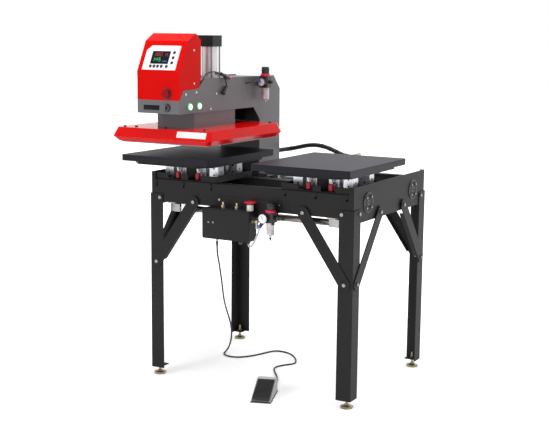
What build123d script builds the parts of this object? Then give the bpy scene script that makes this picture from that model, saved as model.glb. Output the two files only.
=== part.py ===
from build123d import *
import math
import os

# Dual station heat press: a sheet-steel stand with two fixed lower platens and one
# press head on a carriage that slides from the left station to the right one.
# Millimetres, +Z up, X along the stand, Y from the operator to the back.

os.makedirs("parts", exist_ok=True)

# Stand
stand_length = 900.0
stand_depth = 680.0
leg_bottom = 31.0
leg_top = 749.0
leg_flange = 60.0
sheet = 4.0
beam_bottom = 717.0
beam_top = 808.0
beam_flange = 30.0
plate_bottom = 698.0
plate_top = 835.0
plate_return = 15.0
mid_beam_front = -111.0
mid_beam_depth = 51.0
mid_beam_height = 31.0
bend_radius = 6.0

# Braces and bolts
brace_width = 46.0
brace_return = 15.0
brace_pad_radius = 11.0
brace_fold_setback = 30.0
brace_leg_inset = 32.0
brace_leg_height = 474.0
long_brace_beam_x = 242.0
long_brace_beam_height = 728.0
short_brace_plate_y = 111.0
short_brace_plate_height = 718.0
joint_bolt_inset = 48.0
joint_bolt_height = 734.0
bolt_radius = 3.8
bolt_head_radius = 6.5
bolt_head_height = 5.0
drill_overrun = 1.0
bolt_gap = 0.2
screw_radius = 2.5
screw_head_radius = 4.5
screw_head_height = 2.5

# Levelling feet
foot_inset = 25.0
foot_radius = 24.0
foot_height = 8.0
stud_radius = 5.0
stud_top = 62.0
foot_nut_radius = 8.5
foot_nut_height = 7.0
foot_plate_width = 50.0

# Guide shafts and drive
shaft_radius = 12.5
shaft_spacing = 424.0
shaft_height = 767.0
shaft_running_gap = 0.05
flange_radius = 38.0
flange_thickness = 3.0
flange_bolt_circle = 28.0
drive_radius = 12.5
drive_y = -290.0
drive_z = 692.0
drive_end_margin = 10.0
drive_cap_length = 43.0
drive_cap_size = 30.0
drive_gap = 0.3

# Stations
platen_width = 400.0
platen_depth = 500.0
platen_centre_y = -221.0
pad_top = 912.0
pad_thickness = 12.0
lower_platen_thickness = 12.0
base_plate_thickness = 12.0
base_plate_inset = 20.0
base_plate_chamfer = 45.0
platen_corner = 8.0
tray_end_gap = 2.0
tray_front = -330.0
tray_back = -62.0
tray_height = 24.0
tray_sheet = 3.0
tray_screw_offset = 128.0
tray_notch_half_width = 30.0
inner_block_centre = 46.5
inner_block_width = 43.0
outer_block_centre = 105.0
outer_block_width = 40.0
block_depth = 40.0
front_block_face = -280.0
rear_block_face = -140.0
centre_block_width = 40.0

# Lock levers
lever_hinge_setback = 8.0
lever_hinge_drop = 26.0
lever_thickness = 8.0
lever_slot_gap = 1.0
lever_slot_depth = 18.0
lever_slot_height = 28.0
lever_pin_radius = 3.0
lever_bar = 10.0
grip_setout = 32.0
grip_radius = 11.0
grip_drop = 12.0
grip_floor_gap = 1.0
grip_neck_radius = 4.0

# Press motion and head
travel_gap = 50.0
heated_platen_thickness = 30.0
cover_lip = 5.0
cover_rim_height = 18.0
cover_height = 53.0
cover_overhang_x = 26.0
cover_overhang_y = 30.0
cover_top_inset = 14.0
cover_bottom_inset = 16.0
cover_corner = 22.0
cover_wall = 3.0
post_radius = 10.0
riser_width = 170.0
riser_front = -390.0
riser_back = -90.0
riser_height = 80.0
riser_wall = 6.0
head_half_width = 96.0
head_front = -504.0
head_sheet = 4.0
arm_underside = 1080.0
arm_top = 1209.0
band_top = 1130.0
neck_front = 85.0
neck_back = 260.0
neck_sheet_top = 1140.0
neck_elbow_z = 1020.0
shoulder_front = (-478.0, 1166.0)
shoulder_back = (-374.0, 1172.0)
arm_front_top_y = -332.0
arm_rear_drop = 3.0
arm_rear_top_y = 202.0
arm_rear_corner = (257.0, 1150.0)
elbow_lower = (88.0, 1029.0)
elbow_upper_y = 37.0
roof_front = -328.0
roof_back = 196.0
head_base_bottom = 790.0
head_base_thickness = 12.0
head_base_half_length = 140.0
head_base_front = 80.0
head_base_back = 275.0
cylinder_y = -150.0
cylinder_radius = 31.5
cylinder_bottom = 1150.0
cylinder_top = 1327.0
cylinder_cap_size = 75.0
cylinder_cap_height = 44.0
cylinder_flange_size = 84.0
cylinder_flange_thickness = 10.0
rod_radius = 10.0
rod_top = 1240.0
bore_top_gap = 8.0

# Carriage
carriage_half_length = 140.0
carriage_end_gap = 10.0
carriage_front = -262.0
carriage_back = 270.0
carriage_bottom = 732.0
carriage_thickness = 12.0
bushing_length = 70.0
bushing_depth = 50.0
bushing_offset = 95.0
slider_size = 36.0
slider_length = 60.0
slider_plate = 5.0
slider_foot_back = -232.0

# Control housing and panel
slope_bottom = 1236.0
slope_top = (-447.0, 1350.0)
housing_crest = ((-397.0, 1378.0), (-385.0, 1374.0))
housing_back = -358.0
housing_back_top = 1352.0
housing_back_foot = 1211.0
cover_shell = 2.5
cover_seam = 0.4
panel_half_width = 75.0
panel_start = 7.0
panel_end = 106.0
panel_corner_cut = 20.0
panel_thickness = 3.0
screen_thickness = 1.0
screen_width = 80.0
screen_height = 47.0
screen_u = -4.0
screen_v = 58.0
key_radius = 5.0
key_height = 1.0
side_key_u = 53.0
side_key_v = (78.0, 57.0, 36.0)
low_key_u = (-40.0, -23.0, -7.0, 10.0, 33.0)
low_key_v = 21.0

# Buttons and switches on the head
stop_x = 40.0
stop_z = 1155.0
stop_radius = 17.0
stop_thickness = 12.0
stop_stem_radius = 7.0
stop_stand_off = 4.0
stop_collar_radius = 19.0
stop_collar = 1.5
key_switch_z = 1103.0
key_switch_radius = 12.0
key_switch_thickness = 5.0
key_stem_radius = 8.0
key_blade = (3.0, 18.0, 10.0)
button_gap = 0.3
start_y = (-437.0, -374.0)
start_z = 1105.0
start_radius = 11.0
start_thickness = 5.0
start_stem_radius = 8.0
start_stand_off = 3.0
stem_reach = 6.0

# Regulators: one beside the arm, one under the front beam
arm_regulator_stub = 11.0
arm_regulator_y = 78.0
inlet_regulator_x = 118.0
inlet_regulator_stub = 6.0
regulator_size = 40.0
regulator_height = 46.0
arm_regulator_bottom = 1160.0
inlet_regulator_bottom = 684.0
inlet_regulator_height = 36.0
regulator_neck_radius = 12.0
regulator_neck_height = 4.0
collar_radius = 18.5
collar_height = 11.0
knob_radius = 15.0
inlet_knob_radius = 18.5
knob_height = 27.0
knob_gap = 0.4
bowl_radius = 16.0
bowl_length = 50.0
drain_radius = 5.0
drain_length = 8.0
gauge_radius = 16.0
gauge_depth = 12.0
port_radius = 7.0
port_length = 14.0

# Control box under the front beam
box_left = -168.0
box_width = 210.0
box_depth = 55.0
box_bottom = 602.0
box_height = 118.0
box_corner = 8.0
box_wall = 2.5
hanger_left = -140.0
hanger_right = 150.0
hanger_bottom = 650.0
hanger_top = 760.0
hanger_arm_right = 134.0
hanger_arm_bottom = 690.0
hanger_sheet = 3.0
hanger_screw_x = (-124.0, 139.0)
hanger_screw_drop = 13.0
fitting_x = (-92.0, -31.0)
fitting_setout = 31.0
fitting_hex_radius = 8.0
fitting_hex_height = 12.0
fitting_barb_radius = 4.5
fitting_barb_height = 12.0
valve_x = 28.0
valve_base_radius = 13.0
valve_base_height = 22.0
valve_cap_radius = 24.0
valve_cap_height = 18.0
valve_stem_radius = 5.0
valve_stem_length = 15.0
valve_stand_off = 3.0

# Foot pedal
pedal_rear = (70.0, -288.0)
pedal_turn = -70.6
pedal_pin_inset = 1.0
pedal_length = 157.0
pedal_width = 75.0
pedal_height = 57.0
pedal_tower = 34.0
pedal_toe = 4.0
pedal_slope_top = 38.0
pedal_cheek = 4.0
treadle_thickness = 8.0
treadle_toe = 20.0
treadle_heel = 3.2
treadle_gap = 0.8
pedal_pin_radius = 2.5
pedal_pin_setback = 38.0
pedal_pin_height = 50.0
cable_entry_side = 18.0
cable_entry_height = 14.0

# Cords
cable_radius = 3.5
cable_last_run = 38.0
hose_radius = 9.5
gland_radius = 6.0
gland_length = 12.0
gland_x = -117.0
gland_setback = 4.0
cable_first_run = 30.0
hose_gland_radius = 12.0
hose_gland_length = 10.0
hose_gland_x = -222.0
hose_gland_z = 878.0
hose_bracket_x = 152.0
hose_bracket_top = 886.0
hose_end_y = 321.0
hose_end_z = 868.0

# Places worked out from the sizes above
half_length = stand_length / 2
half_depth = stand_depth / 2
shaft_y = shaft_spacing / 2
plate_face = half_length - sheet
plate_inner = plate_face - sheet
station_offset = plate_inner - carriage_end_gap - carriage_half_length
station_left = -station_offset
station_right = station_offset
stations = {"left": station_left, "right": station_right}
drive_half_length = station_offset + slider_length / 2 + drive_end_margin
tray_half_width = plate_inner - station_offset - tray_end_gap
beam_face = half_depth - sheet
beam_inner = beam_face - sheet
beam_half_length = plate_inner - plate_return
brace_face = half_depth + sheet
brace_side_face = half_length + sheet
tray_floor_top = beam_top + tray_sheet
lower_platen_top = pad_top - pad_thickness
base_plate_top = lower_platen_top - lower_platen_thickness
base_plate_bottom = base_plate_top - base_plate_thickness
lever_hinge_height = base_plate_bottom - lever_hinge_drop
grip_top = lever_hinge_height - grip_drop
grip_bottom = tray_floor_top + grip_floor_gap
cover_rim_half_x = platen_width / 2 + cover_overhang_x
cover_rim_half_y = platen_depth / 2 + cover_overhang_y
heated_face = pad_top + travel_gap
cover_bottom = heated_face + cover_lip
cover_top = cover_bottom + cover_height
heated_top = heated_face + heated_platen_thickness
head_base_top = head_base_bottom + head_base_thickness
carriage_top = carriage_bottom + carriage_thickness
bushing_height = head_base_bottom - carriage_top
head_outer = (station_left - head_half_width, station_left + head_half_width)
head_inner = (head_outer[0] + head_sheet, head_outer[1] - head_sheet)
roof_top = arm_top - 2 * head_sheet
neck_sheet_back = neck_back - head_sheet
box_back = -(beam_face + hanger_sheet)
box_front = box_back - box_depth
arm_regulator_x = head_outer[1] + arm_regulator_stub + regulator_size / 2
box_top = box_bottom + box_height
inlet_regulator_y = box_back - inlet_regulator_stub - regulator_size / 2
hanger_screw_z = hanger_top - hanger_screw_drop
lever_hinge_y = front_block_face + lever_hinge_setback
grip_y = lever_hinge_y - grip_setout
grip_centre_z = (grip_bottom + grip_top) / 2
pin_half_length = lever_thickness
stop_front = head_front - stop_stand_off - stop_thickness

# The origin is the middle of the footprint of the whole press, on the floor.
model_left = station_left - cover_rim_half_x
model_right = station_right + platen_width / 2
model_front = stop_front
model_back = brace_face + bolt_head_height
origin_x = (model_left + model_right) / 2
origin_y = (model_front + model_back) / 2


def keep(part, name):
    """Label a finished piece and write it in the frame of the whole press."""
    piece = Pos(-origin_x, -origin_y, 0) * part
    piece.label = name
    export_step(piece, f"parts/{name}.step")


def slab(x, y, z, mode=Mode.ADD):
    """A block between two X, two Y and two Z values."""
    with Locations(((x[0] + x[1]) / 2, (y[0] + y[1]) / 2, (z[0] + z[1]) / 2)):
        Box(abs(x[1] - x[0]), abs(y[1] - y[0]), abs(z[1] - z[0]), mode=mode)


def post(x, y, z, radius, mode=Mode.ADD):
    """An upright cylinder between two Z values."""
    with Locations((x, y, (z[0] + z[1]) / 2)):
        Cylinder(radius, abs(z[1] - z[0]), mode=mode)


def bar_x(x, y, z, radius, mode=Mode.ADD):
    """A cylinder along X between two X values."""
    with Locations(((x[0] + x[1]) / 2, y, z)):
        Cylinder(radius, abs(x[1] - x[0]), rotation=(0, 90, 0), mode=mode)


def bar_y(x, y, z, radius, mode=Mode.ADD):
    """A cylinder along Y between two Y values."""
    with Locations((x, (y[0] + y[1]) / 2, z)):
        Cylinder(radius, abs(y[1] - y[0]), rotation=(90, 0, 0), mode=mode)


# Bolt places: (x, z) on the long sides and (y, z) on the short sides
long_joint_bolts = [(s * (half_length - joint_bolt_inset), joint_bolt_height) for s in (-1, 1)]
long_brace_leg_bolts = [(s * (half_length - brace_leg_inset), brace_leg_height) for s in (-1, 1)]
long_brace_beam_bolts = [(s * long_brace_beam_x, long_brace_beam_height) for s in (-1, 1)]
short_joint_bolts = [(s * (half_depth - joint_bolt_inset), joint_bolt_height) for s in (-1, 1)]
short_brace_leg_bolts = [(s * (half_depth - brace_leg_inset), brace_leg_height) for s in (-1, 1)]
short_brace_plate_bolts = [(s * short_brace_plate_y, short_brace_plate_height) for s in (-1, 1)]
tray_screw_x = [x + s * tray_screw_offset for x in stations.values() for s in (-1, 0, 1)]
tray_screw_z = beam_top - sheet - 2 * screw_head_radius
hole_radius = bolt_radius + bolt_gap
screw_hole_radius = screw_radius + bolt_gap


def long_side_holes(side, places, radius=hole_radius):
    """Holes through the sheets of a long side, front (-1) or back (+1)."""
    for x, z in places:
        drilled = (side * (beam_inner - drill_overrun), side * (brace_face + drill_overrun))
        bar_y(x, drilled, z, radius, Mode.SUBTRACT)


def short_side_holes(side, places, radius=hole_radius):
    """Holes through the sheets of a short side, left (-1) or right (+1)."""
    for y, z in places:
        drilled = (side * (plate_inner - drill_overrun), side * (brace_side_face + drill_overrun))
        bar_x(drilled, y, z, radius, Mode.SUBTRACT)


def make_leg(sx, sy):
    """One folded corner leg with the plate that its levelling foot screws into."""
    outer_x, outer_y = sx * half_length, sy * half_depth
    tread_bottom = leg_bottom + sheet
    with BuildPart() as leg:
        slab((outer_x, outer_x - sx * leg_flange), (outer_y, outer_y - sy * sheet), (leg_bottom, leg_top))
        slab((outer_x, outer_x - sx * sheet), (outer_y, outer_y - sy * leg_flange), (leg_bottom, leg_top))
        slab((outer_x - sx * sheet, outer_x - sx * foot_plate_width),
             (outer_y - sy * sheet, outer_y - sy * foot_plate_width), (tread_bottom, tread_bottom + sheet))
        foot_x, foot_y = outer_x - sx * foot_inset, outer_y - sy * foot_inset
        post(foot_x, foot_y, (leg_bottom, leg_bottom + 3 * sheet), stud_radius + bolt_gap, Mode.SUBTRACT)
        long_side_holes(sy, long_joint_bolts + long_brace_leg_bolts)
        short_side_holes(sx, short_joint_bolts + short_brace_leg_bolts)
        corner = leg.edges().filter_by(Axis.Z).sort_by_distance(Vector(outer_x, outer_y, leg_top / 2))[0]
        fillet(corner, sheet)
    return leg.part


def make_long_beam(side):
    """The channel along the front or the back, folded inwards top and bottom."""
    face, inner = side * beam_face, side * beam_inner
    lip = side * (beam_face - beam_flange)
    with BuildPart() as beam:
        slab((-beam_half_length, beam_half_length), (face, inner), (beam_bottom, beam_top))
        for low in (beam_bottom, beam_top - sheet):
            slab((-beam_half_length, beam_half_length), (inner, lip), (low, low + sheet))
        for edge_z in (beam_bottom, beam_top):
            bend = beam.edges().filter_by(Axis.X).sort_by_distance(Vector(0, face, edge_z))[0]
            fillet(bend, sheet * 0.75)
        long_side_holes(side, long_joint_bolts + long_brace_beam_bolts)
        if side < 0:
            long_side_holes(side, [(x, tray_screw_z) for x in tray_screw_x], screw_hole_radius)
            long_side_holes(side, [(x, hanger_screw_z) for x in hanger_screw_x], screw_hole_radius)
    return beam.part


def make_side_plate(side):
    """The deep plate at one end, folded inwards at the front and the back."""
    face, inner = side * plate_face, side * plate_inner
    with BuildPart() as plate:
        slab((face, inner), (-beam_face, beam_face), (plate_bottom, plate_top))
        for sy in (-1, 1):
            slab((inner, inner - side * plate_return), (sy * beam_face, sy * beam_inner),
                 (plate_bottom, plate_top))
        near_face = (face - bolt_gap, face + bolt_gap)
        corners = plate.edges().filter_by(Axis.Z).filter_by_position(Axis.X, *near_face)
        fillet(corners, sheet * 0.75)
        short_side_holes(side, short_joint_bolts + short_brace_plate_bolts)
        short_side_holes(side, [(sy * shaft_y, shaft_height) for sy in (-1, 1)], shaft_radius + bolt_gap)
        for sy in (-1, 1):
            short_side_holes(side, flange_bolt_places(sy * shaft_y), screw_hole_radius)
    return plate.part


def flange_bolt_places(y):
    """Four bolts round one end of a guide shaft."""
    angles = [math.radians(45 + 90 * i) for i in range(4)]
    return [(y + flange_bolt_circle * math.cos(a), shaft_height + flange_bolt_circle * math.sin(a))
            for a in angles]


for fore_aft, sy in (("front", -1), ("back", 1)):
    for hand, sx in (("left", -1), ("right", 1)):
        keep(make_leg(sx, sy), f"leg_{fore_aft}_{hand}")
    keep(make_long_beam(sy), f"{fore_aft}_beam")

for hand, sx in (("left", -1), ("right", 1)):
    keep(make_side_plate(sx), f"side_plate_{hand}")

# Middle beam: an inverted channel between the side plates, under the tray ends
mid_beam_back = mid_beam_front + mid_beam_depth
with BuildPart() as mid_beam:
    slab((-plate_inner, plate_inner), (mid_beam_front, mid_beam_back),
         (beam_top - mid_beam_height, beam_top))
    slab((-plate_inner, plate_inner), (mid_beam_front + sheet, mid_beam_back - sheet),
         (beam_top - mid_beam_height, beam_top - sheet), Mode.SUBTRACT)
keep(mid_beam.part, "mid_beam")


def make_brace(start, end, outward, lower):
    """A flat brace from a leg bolt to an upper bolt, folded along the edge that lower points to."""
    along = Vector(*end) - Vector(*start)
    length = along.length
    plane = Plane(origin=start, x_dir=along.normalized(), z_dir=outward)
    fold = math.copysign(1, plane.y_dir.dot(Vector(*lower)))
    with BuildPart() as brace:
        with BuildSketch(plane):
            with Locations((length / 2, 0)):
                SlotCenterToCenter(length, brace_width)
        extrude(amount=-sheet)
        with BuildSketch(plane.offset(-sheet)):
            with Locations((length, 0)):
                Circle(brace_pad_radius)
        extrude(amount=-sheet)
        with BuildSketch(plane.offset(-sheet)):
            with Locations((length / 2, fold * (brace_width - sheet) / 2)):
                Rectangle(length - 2 * brace_fold_setback, sheet)
        extrude(amount=-brace_return)
        with BuildSketch(plane):
            with Locations((0, 0), (length, 0)):
                Circle(hole_radius)
        extrude(amount=-2 * sheet, mode=Mode.SUBTRACT)
    return brace.part


braces = []
for sy in (-1, 1):
    face = sy * brace_face
    for (leg_x, leg_z), (beam_x, beam_z) in zip(long_brace_leg_bolts, long_brace_beam_bolts):
        braces.append(make_brace((leg_x, face, leg_z), (beam_x, face, beam_z),
                                 (0, sy, 0), (-leg_x, 0, -leg_z)))
for sx in (-1, 1):
    face = sx * brace_side_face
    for (leg_y, leg_z), (plate_y, plate_z) in zip(short_brace_leg_bolts, short_brace_plate_bolts):
        braces.append(make_brace((face, leg_y, leg_z), (face, plate_y, plate_z),
                                 (sx, 0, 0), (0, -leg_y, -leg_z)))
keep(Compound(children=braces), "braces")

# Bolts of the stand, each a head, a shank through its sheets and a nut inside
with BuildPart() as frame_bolts:
    for sy in (-1, 1):
        for places, face in ((long_joint_bolts, half_depth), (long_brace_leg_bolts, brace_face),
                             (long_brace_beam_bolts, brace_face)):
            nut_seat = half_depth - sheet if places is long_brace_leg_bolts else beam_inner
            for x, z in places:
                bar_y(x, (sy * (nut_seat - bolt_head_height), sy * (face + bolt_head_height)), z, bolt_radius)
                bar_y(x, (sy * face, sy * (face + bolt_head_height)), z, bolt_head_radius)
                bar_y(x, (sy * nut_seat, sy * (nut_seat - bolt_head_height)), z, bolt_head_radius)
    for sx in (-1, 1):
        for places, face in ((short_joint_bolts, half_length), (short_brace_leg_bolts, brace_side_face),
                             (short_brace_plate_bolts, brace_side_face)):
            nut_seat = half_length - sheet if places is short_brace_leg_bolts else plate_inner
            for y, z in places:
                bar_x((sx * (nut_seat - bolt_head_height), sx * (face + bolt_head_height)), y, z, bolt_radius)
                bar_x((sx * face, sx * (face + bolt_head_height)), y, z, bolt_head_radius)
                bar_x((sx * nut_seat, sx * (nut_seat - bolt_head_height)), y, z, bolt_head_radius)
    for x in hanger_screw_x:
        face = -(beam_face + hanger_sheet)
        bar_y(x, (face - screw_head_height, -beam_inner), hanger_screw_z, screw_radius)
        bar_y(x, (face - screw_head_height, face), hanger_screw_z, screw_head_radius)
    for sx in (-1, 1):
        flange_face = plate_face + flange_thickness
        for sy in (-1, 1):
            for y, z in flange_bolt_places(sy * shaft_y):
                bar_x((sx * plate_inner, sx * (flange_face + bolt_head_height)), y, z, screw_radius)
                bar_x((sx * flange_face, sx * (flange_face + bolt_head_height)), y, z, screw_head_radius)
keep(frame_bolts.part, "frame_bolts")

# Levelling feet: a disc, a stud and two nuts that clamp the leg's foot plate
with BuildPart() as feet:
    tread_low = leg_bottom + sheet
    tread_high = tread_low + sheet
    for sx in (-1, 1):
        for sy in (-1, 1):
            x, y = sx * (half_length - foot_inset), sy * (half_depth - foot_inset)
            post(x, y, (0, foot_height), foot_radius)
            post(x, y, (foot_height, 2 * foot_height), foot_nut_radius)
            post(x, y, (foot_height, stud_top), stud_radius)
            post(x, y, (tread_low - foot_nut_height, tread_low), foot_nut_radius)
            post(x, y, (tread_high, tread_high + foot_nut_height), foot_nut_radius)
keep(feet.part, "levelling_feet")

# Two guide shafts from side plate to side plate, and the flanges that hold them
with BuildPart() as shafts:
    for sy in (-1, 1):
        bar_x((-plate_face, plate_face), sy * shaft_y, shaft_height, shaft_radius)
keep(shafts.part, "guide_shafts")

with BuildPart() as flanges:
    for sx in (-1, 1):
        span = (sx * plate_face, sx * (plate_face + flange_thickness))
        for sy in (-1, 1):
            bar_x(span, sy * shaft_y, shaft_height, flange_radius)
            bar_x(span, sy * shaft_y, shaft_height, shaft_radius / 2, Mode.SUBTRACT)
            for y, z in flange_bolt_places(sy * shaft_y):
                bar_x(span, y, z, screw_hole_radius, Mode.SUBTRACT)
keep(flanges.part, "shaft_flanges")

# Rodless drive cylinder: a tube between two caps, each on a bracket under the front beam
with BuildPart() as drive_tube:
    bar_x((-drive_half_length, drive_half_length), drive_y, drive_z, drive_radius)
keep(drive_tube.part, "drive_tube")

cap_low, cap_high = drive_z - drive_cap_size / 2, drive_z + drive_cap_size / 2
cap_back = drive_y + drive_cap_size / 2
drive_ends = []
for sx in (-1, 1):
    cap_x = (sx * drive_half_length, sx * (drive_half_length + drive_cap_length))
    bracket_x = (cap_x[0] + sx * sheet, cap_x[1] - sx * sheet)
    with BuildPart() as drive_cap:
        slab(cap_x, (drive_y - drive_cap_size / 2, cap_back), (cap_low, cap_high))
    with BuildPart() as drive_bracket:
        slab(bracket_x, (-beam_inner, cap_back + sheet), (beam_bottom - sheet, beam_bottom))
        slab(bracket_x, (cap_back, cap_back + sheet), (cap_low, beam_bottom - sheet))
    drive_ends += [drive_cap.part, drive_bracket.part]
keep(Compound(children=drive_ends), "drive_ends")


def rounded_plate(name, centre, width, depth, low, thickness, radius):
    """A flat rectangular plate with rounded corners."""
    with BuildPart() as plate:
        with BuildSketch(Plane.XY.offset(low)):
            with Locations(centre):
                RectangleRounded(width, depth, radius)
        extrude(amount=thickness)
    keep(plate.part, name)


def make_block(x_centre, width, face, slot_x=None):
    """A support block on a tray, slotted in front where a lock lever hinges in it."""
    with BuildPart() as block:
        slab((x_centre - width / 2, x_centre + width / 2), (face, face + block_depth),
             (tray_floor_top, base_plate_bottom))
        if slot_x is not None:
            half_slot = lever_thickness / 2 + lever_slot_gap
            slab((slot_x - half_slot, slot_x + half_slot), (face, face + lever_slot_depth),
                 (lever_hinge_height - lever_slot_height / 2, lever_hinge_height + lever_slot_height / 2),
                 Mode.SUBTRACT)
            half_bore = pin_half_length + lever_slot_gap
            bar_x((slot_x - half_bore, slot_x + half_bore), lever_hinge_y, lever_hinge_height,
                  lever_pin_radius + shaft_running_gap, Mode.SUBTRACT)
    return block.part


for hand, station in stations.items():
    # Folded tray across the front beam and the middle beam, with its screws in the front beam
    tray_x = (station - tray_half_width, station + tray_half_width)
    with BuildPart() as tray:
        slab(tray_x, (tray_front, tray_back), (beam_top, beam_top + tray_height))
        slab((tray_x[0] + tray_sheet, tray_x[1] - tray_sheet),
             (tray_front + tray_sheet, tray_back - tray_sheet),
             (tray_floor_top, beam_top + tray_height), Mode.SUBTRACT)
        for side in (-1, 1):
            lever_x = station + side * inner_block_centre
            slab((lever_x - tray_notch_half_width, lever_x + tray_notch_half_width),
                 (tray_front, tray_front + tray_sheet),
                 (tray_floor_top, beam_top + tray_height), Mode.SUBTRACT)
    tray_pieces = [tray.part]
    for side in (-1, 0, 1):
        screw_x = station + side * tray_screw_offset
        with BuildPart() as tray_screw:
            bar_y(screw_x, (-beam_face - screw_head_height, -beam_inner), tray_screw_z, screw_radius)
            bar_y(screw_x, (-beam_face - screw_head_height, -beam_face), tray_screw_z, screw_head_radius)
        tray_pieces.append(tray_screw.part)
    keep(Compound(children=tray_pieces), f"station_tray_{hand}")

    # Aluminium blocks between the tray and the platen's base plate
    blocks = []
    for side in (-1, 1):
        lever_x = station + side * inner_block_centre
        blocks.append(make_block(lever_x, inner_block_width, front_block_face, lever_x))
        blocks.append(make_block(station + side * outer_block_centre, outer_block_width, front_block_face))
        blocks.append(make_block(lever_x, inner_block_width, rear_block_face))
        blocks.append(make_block(station + side * outer_block_centre, outer_block_width, rear_block_face))
    keep(Compound(children=blocks), f"support_blocks_{hand}")

    # Lower platen on its chamfered base plate, with the dark foot between the inner blocks
    with BuildPart() as platen:
        with BuildSketch(Plane.XY.offset(base_plate_bottom)):
            with Locations((station, platen_centre_y)):
                outline = Rectangle(platen_width - 2 * base_plate_inset, platen_depth - 2 * base_plate_inset)
            chamfer(outline.vertices(), base_plate_chamfer)
        extrude(amount=base_plate_thickness)
        with BuildSketch(Plane.XY.offset(base_plate_top)):
            with Locations((station, platen_centre_y)):
                RectangleRounded(platen_width, platen_depth, platen_corner)
        extrude(amount=lower_platen_thickness)
        slab((station - centre_block_width / 2, station + centre_block_width / 2),
             (front_block_face, front_block_face + block_depth), (tray_floor_top, base_plate_bottom))
    keep(platen.part, f"lower_platen_{hand}")
    rounded_plate(f"pad_{hand}", (station, platen_centre_y), platen_width, platen_depth,
                  lower_platen_top, pad_thickness, platen_corner)

    # Lock levers: a bar on a cross pin, with a round grip hanging from its end
    for lever_side, side in (("outer", math.copysign(1, station)), ("inner", -math.copysign(1, station))):
        lever_x = station + side * inner_block_centre
        with BuildPart() as lever:
            half = lever_thickness / 2
            slab((lever_x - half, lever_x + half), (lever_hinge_y, grip_y - grip_neck_radius),
                 (lever_hinge_height - lever_bar / 2, lever_hinge_height + lever_bar / 2))
            bar_x((lever_x - half, lever_x + half), lever_hinge_y, lever_hinge_height, lever_bar / 2)
            bar_x((lever_x - pin_half_length, lever_x + pin_half_length), lever_hinge_y, lever_hinge_height,
                  lever_pin_radius)
            post(lever_x, grip_y, (grip_centre_z, lever_hinge_height), grip_neck_radius)
            post(lever_x, grip_y, (grip_bottom, grip_top), grip_radius)
            rims = lever.edges().filter_by(GeomType.CIRCLE).filter_by(
                lambda e: abs(e.radius - grip_radius) < bolt_gap / 10)
            fillet(rims, grip_neck_radius / 2)
        keep(lever.part, f"lock_lever_{hand}_{lever_side}")

# Carriage plate under the shafts
with BuildPart() as carriage:
    slab((station_left - carriage_half_length, station_left + carriage_half_length),
         (carriage_front, carriage_back), (carriage_bottom, carriage_top))
    fillet(carriage.edges().filter_by(Axis.Z), bend_radius)
keep(carriage.part, "carriage_plate")

# Four bushing blocks on the shafts, and the slider on the drive tube
running = []
for sx in (-1, 1):
    bushing_x = station_left + sx * bushing_offset
    span = (bushing_x - bushing_length / 2, bushing_x + bushing_length / 2)
    for sy in (-1, 1):
        y = sy * shaft_y
        with BuildPart() as bushing:
            slab(span, (y - bushing_depth / 2, y + bushing_depth / 2), (carriage_top, head_base_bottom))
            bar_x(span, y, shaft_height, shaft_radius + shaft_running_gap, Mode.SUBTRACT)
        running.append(bushing.part)

slider_back = drive_y + slider_size / 2
slider_z = (drive_z - slider_size / 2, drive_z + slider_size / 2)
with BuildPart() as slider:
    span = (station_left - slider_length / 2, station_left + slider_length / 2)
    slab(span, (drive_y - slider_size / 2, slider_back), slider_z)
    bar_x(span, drive_y, drive_z, drive_radius + drive_gap, Mode.SUBTRACT)
    slab(span, (slider_back, slider_back + slider_plate), (slider_z[0], carriage_bottom))
    slab(span, (slider_back, slider_foot_back), (carriage_bottom - slider_plate, carriage_bottom))
running.append(slider.part)
keep(Compound(children=running), "carriage_runners")

# Head: two side plates with the outline of the arm and neck
arm_outline = [(head_front, arm_underside), (head_front, band_top), shoulder_front, shoulder_back,
               (arm_front_top_y, arm_top), (arm_rear_top_y, arm_top - arm_rear_drop), arm_rear_corner,
               (neck_back, head_base_top), (neck_front, head_base_top), elbow_lower,
               (elbow_upper_y, arm_underside)]
start_holes = [(y, start_z) for y in start_y]
for hand, low_x in (("left", head_outer[0]), ("right", head_inner[1])):
    with BuildPart() as head_side:
        with BuildSketch(Plane.YZ.offset(low_x)):
            with BuildLine():
                Polyline(*arm_outline, close=True)
            make_face()
        extrude(amount=head_sheet)
        if hand == "right":
            for y, z in start_holes:
                bar_x((low_x, low_x + head_sheet), y, z, start_stem_radius + button_gap, Mode.SUBTRACT)
    keep(head_side.part, f"head_side_{hand}")

# Sheets across the head: base, neck back and front, roof with the cylinder hole, front band, floor
with BuildPart() as head_frame:
    slab((station_left - head_base_half_length, station_left + head_base_half_length),
         (head_base_front, head_base_back), (head_base_bottom, head_base_top))
    slab(head_inner, (neck_sheet_back - head_sheet, neck_sheet_back), (head_base_top, neck_sheet_top))
    slab(head_inner, (neck_front + head_sheet, neck_front + 2 * head_sheet),
         (head_base_top, neck_elbow_z))
    slab(head_inner, (roof_front, roof_back), (roof_top - head_sheet, roof_top))
    post(station_left, cylinder_y, (roof_top - head_sheet, roof_top), cylinder_radius + drive_gap,
         Mode.SUBTRACT)
    slab(head_inner, (head_front, head_front + head_sheet), (arm_underside, band_top))
    slab(head_inner, (head_front + head_sheet, riser_front - head_sheet),
         (arm_underside, arm_underside + head_sheet))
    bar_y(station_left + stop_x, (head_front, head_front + head_sheet), key_switch_z,
          key_stem_radius + button_gap, Mode.SUBTRACT)
    bar_y(hose_gland_x, (neck_sheet_back, neck_sheet_back + hose_gland_length), hose_gland_z,
          hose_gland_radius)
keep(head_frame.part, "head_frame")

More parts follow.
